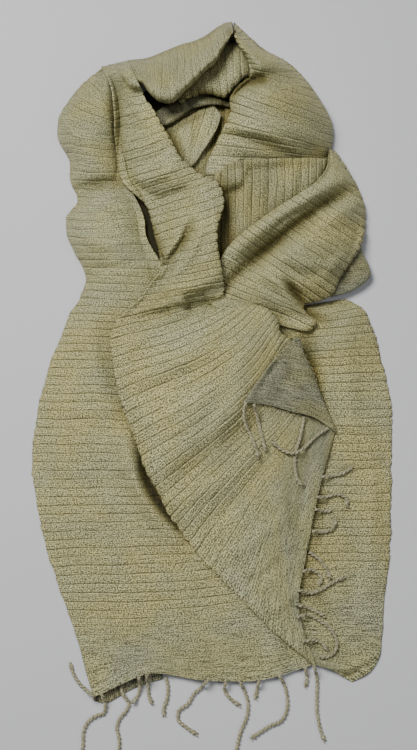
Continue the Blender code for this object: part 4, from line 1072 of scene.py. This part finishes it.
def silk_material(name, colour, shine=1.0):
    """Crinkled silk: crepe beads between rib grooves drawn in painted shade, or fine weft lines where it
    isn't ribbed.
    """
    made, tree, shader = new_material(name, {
        "Roughness": 0.6,
        "Specular IOR Level": 0.35 * shine,
        "Sheen Weight": 0.25 * shine,
        "Sheen Roughness": 0.45,
        "Sheen Tint": (*scaled(colour, 2), 1),
    })
    across, rib = map_values(tree, "cloth")
    ribbing, painted_shade = map_values(tree, "shade")
    strength, tail = map_values(tree, "grain")
    beads, weft, tint, patches = silk_patterns(tree, across, rib)
    groove, lip = silk_ribs(tree, beads, patches, rib, ribbing)
    grain = silk_grain(tree, beads, weft, rib, ribbing, strength)
    # The lip lightens the grain: a painted highlight on each rib, which the bump also raises.
    grain = math_output(tree, "MULTIPLY_ADD", lip, 0.03, grain)
    tone = silk_colour(tree, colour, grain, tint, tail, ribbing, groove, painted_shade)
    tree.links.new(tone, shader.inputs["Base Color"])

    bump = node(tree, "Bump", Strength=1.0, Distance=BUMP_HEIGHT)
    tree.links.new(math_output(tree, "MULTIPLY_ADD", groove, -GROOVE_SINK, grain), bump.inputs["Height"])
    tree.links.new(bump.outputs[0], shader.inputs["Normal"])
    return made


def lay_hidden(pile, material):
    """The layers inside the heap: the hidden solid's own form, with soft crumples, in the near-black painted
    shade of its material.
    """
    work = bmesh.new()
    work.from_mesh(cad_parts["hidden_layers"].data)
    bmesh.ops.remove_doubles(work, verts=work.verts, dist=1e-6)
    bmesh.ops.subdivide_edges(work, edges=work.edges, cuts=3, use_grid_fill=True)
    for vertex in work.verts:
        sink = CRUMPLE_DEPTH * MM * (1 + noise.noise(vertex.co * CRUMPLES_TO_A_METRE))
        vertex.co.z = max(vertex.co.z - sink, min(vertex.co.z, 0.5 * MM))
    mesh = bpy.data.meshes.new("hidden_layers_cloth")
    work.to_mesh(mesh)
    work.free()
    mesh.shade_smooth()
    mesh.materials.append(material)
    pile.add_solid(mesh)
    stand_in_for(add_object("hidden_layers_cloth", mesh), "hidden_layers")


def strand_route(places, pile):
    """Points (across, down, height) of a strand that lies on whatever is under it, and steps over itself."""
    knots = np.array(places, float)
    length = np.concatenate([[0], np.cumsum(np.linalg.norm(np.diff(knots, axis=0), axis=1))])
    count = round(length[-1] / STRAND_STEP)
    flat = smooth_through(length, knots, np.linspace(0, length[-1], count + 1))
    route = np.column_stack([flat, np.zeros(len(flat))])
    height = pile.under(route[None])[0] + STRAND / 2
    loop = math.ceil(2 * STRAND / STRAND_STEP)
    for i in range(loop, len(route)):
        close = np.linalg.norm(route[:i - loop, :2] - route[i, :2], axis=1) < STRAND
        if close.any():
            height[i] = max(height[i], height[:i - loop][close].max() + STRAND)
    height = blurred(widened(height[:, None], 4), 8)[:, 0]
    route[:, 2] = np.maximum(height, STRAND / 2)
    return route


def tube(line, aside, over, radius, sides):
    """Points and faces of a closed tube along a line, whose radius changes along it."""
    angle = 2 * np.pi * np.arange(sides) / sides
    ring = np.cos(angle)[:, None] * aside[:, None] + np.sin(angle)[:, None] * over[:, None]
    points = line[:, None] + ring * radius[:, None, None] * MM
    index = np.arange(len(line) * sides).reshape(len(line), sides)
    after = np.roll(index, -1, axis=1)
    faces = np.stack([index[:-1], after[:-1], after[1:], index[1:]], axis=-1).reshape(-1, 4).tolist()
    return points.reshape(-1, 3), faces + [index[0, ::-1].tolist(), index[-1].tolist()]


def twisted_strand(route):
    """The tubes of a strand: two plies twisted round each other, with a knot near its frayed end."""
    line = table_points(route)
    run = np.gradient(line, axis=0)
    run /= np.linalg.norm(run, axis=1, keepdims=True)
    aside = np.cross(run, (0, 0, 1))
    aside /= np.linalg.norm(aside, axis=1, keepdims=True)
    over = np.cross(aside, run)
    length = np.arange(len(line)) * STRAND_STEP
    left_over = length[-1] - length
    knot = np.exp(-(((left_over - KNOT_PLACE) / KNOT_WIDTH) ** 2))
    fray = np.clip(1 - left_over / FRAY_LENGTH, 0, 1)
    tubes = []
    for ply in (0, 1):
        turn = 2 * math.pi * length / STRAND_TWIST + ply * math.pi
        reach = PLY_OFFSET * (1 + 0.7 * fray)
        centre = line + (np.cos(turn)[:, None] * aside + np.sin(turn)[:, None] * over) * reach[:, None] * MM
        tubes.append(tube(centre, aside, over, PLY_RADIUS * (1 + 0.6 * knot - 0.6 * fray), PLY_SIDES))
    return tubes


def lay_fringe(fringe, pile, material):
    """All the strands of one hem as one piece."""
    points, faces = [], []
    for places in fringe.strands:
        route = strand_route(places, pile)
        for tube_points, tube_faces in twisted_strand(route):
            faces += [[i + len(points) for i in face] for face in tube_faces]
            points += tube_points.tolist()
        band = np.stack([route - (1, 0, 0), route + (1, 0, 0)], axis=1)
        band[..., 2] += STRAND / 2
        pile.add(band)
    name = fringe.name + "_strands"
    mesh = bpy.data.meshes.new(name)
    mesh.from_pydata(points, [], faces)
    mesh.shade_smooth()
    mesh.materials.append(material)
    stand_in_for(add_object(name, mesh), fringe.name)


def strand_material():
    """Twisted silk thread: fine fibres in random lighter and browner tones."""
    made, tree, shader = new_material("twisted silk", {"Roughness": 0.7, "Sheen Weight": 0.2})
    fibres = node(tree, "TexNoise", Scale=700.0, Detail=2.0)
    tree.links.new(node(tree, "TexCoord").outputs["Object"], fibres.inputs["Vector"])
    tree.links.new(ramp_output(tree, fibres.outputs[0], *FIBRE_STOPS), shader.inputs["Base Color"])
    return made


def add_floor():
    """A plain pale floor, far wider than the view."""
    mesh = bpy.data.meshes.new("floor")
    corners = [(x * FLOOR_REACH, y * FLOOR_REACH, 0) for x, y in ((-1, -1), (1, -1), (1, 1), (-1, 1))]
    mesh.from_pydata(corners, [], [(0, 1, 2, 3)])
    floor = add_object("floor", mesh)
    mesh.materials.append(new_material("pale floor", {"Base Color": (*FLOOR_COLOUR, 1), "Roughness": 0.8})[0])


def add_light(light):
    """A soft square light that faces the middle of the scarf."""
    lamp = bpy.data.lights.new(light.name, "AREA")
    lamp.size = light.size
    lamp.energy = light.power
    lamp.color = light.colour
    made = add_object(light.name, lamp)
    made.location = light.place
    made.rotation_euler = (-Vector(light.place)).to_track_quat("-Z", "Y").to_euler()


def add_camera():
    """The camera at the photo's angle, as far from the table as EYE_DISTANCE."""
    camera = bpy.data.cameras.new("camera")
    camera.sensor_width = 36
    camera.lens = camera.sensor_width * EYE_DISTANCE / VIEW_TALL
    made = add_object("camera", camera)
    made.location = EYE
    made.rotation_euler = (math.pi / 2 - EYE_ELEVATION, 0, 0)
    bpy.context.scene.camera = made


def main():
    """Lay the whole scarf in the frame, and set up its floor, lights and camera."""
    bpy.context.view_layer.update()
    dice = np.random.default_rng(SEED)
    pile = Pile()
    silks = {
        "crinkled_silk": silk_material("crinkled silk", SILK),
        "plain_silk": silk_material("plain silk", PLAIN_SILK),
    }
    # The hidden layers get painted shade: near black, with little specular or sheen.
    lay_hidden(pile, silk_material("hidden silk in painted shade", HIDDEN_SHADE_SILK, 0.1))
    laid = [lay_cloth(stretch, pile, dice) for stretch in STRETCHES]
    for cloth in laid:
        make_cloth(cloth, pile, silks[cloth.stretch.slot])
    strands = strand_material()
    for fringe in FRINGES:
        lay_fringe(fringe, pile, strands)
    add_floor()
    for light in LIGHTS:
        add_light(light)
    add_camera()


main()
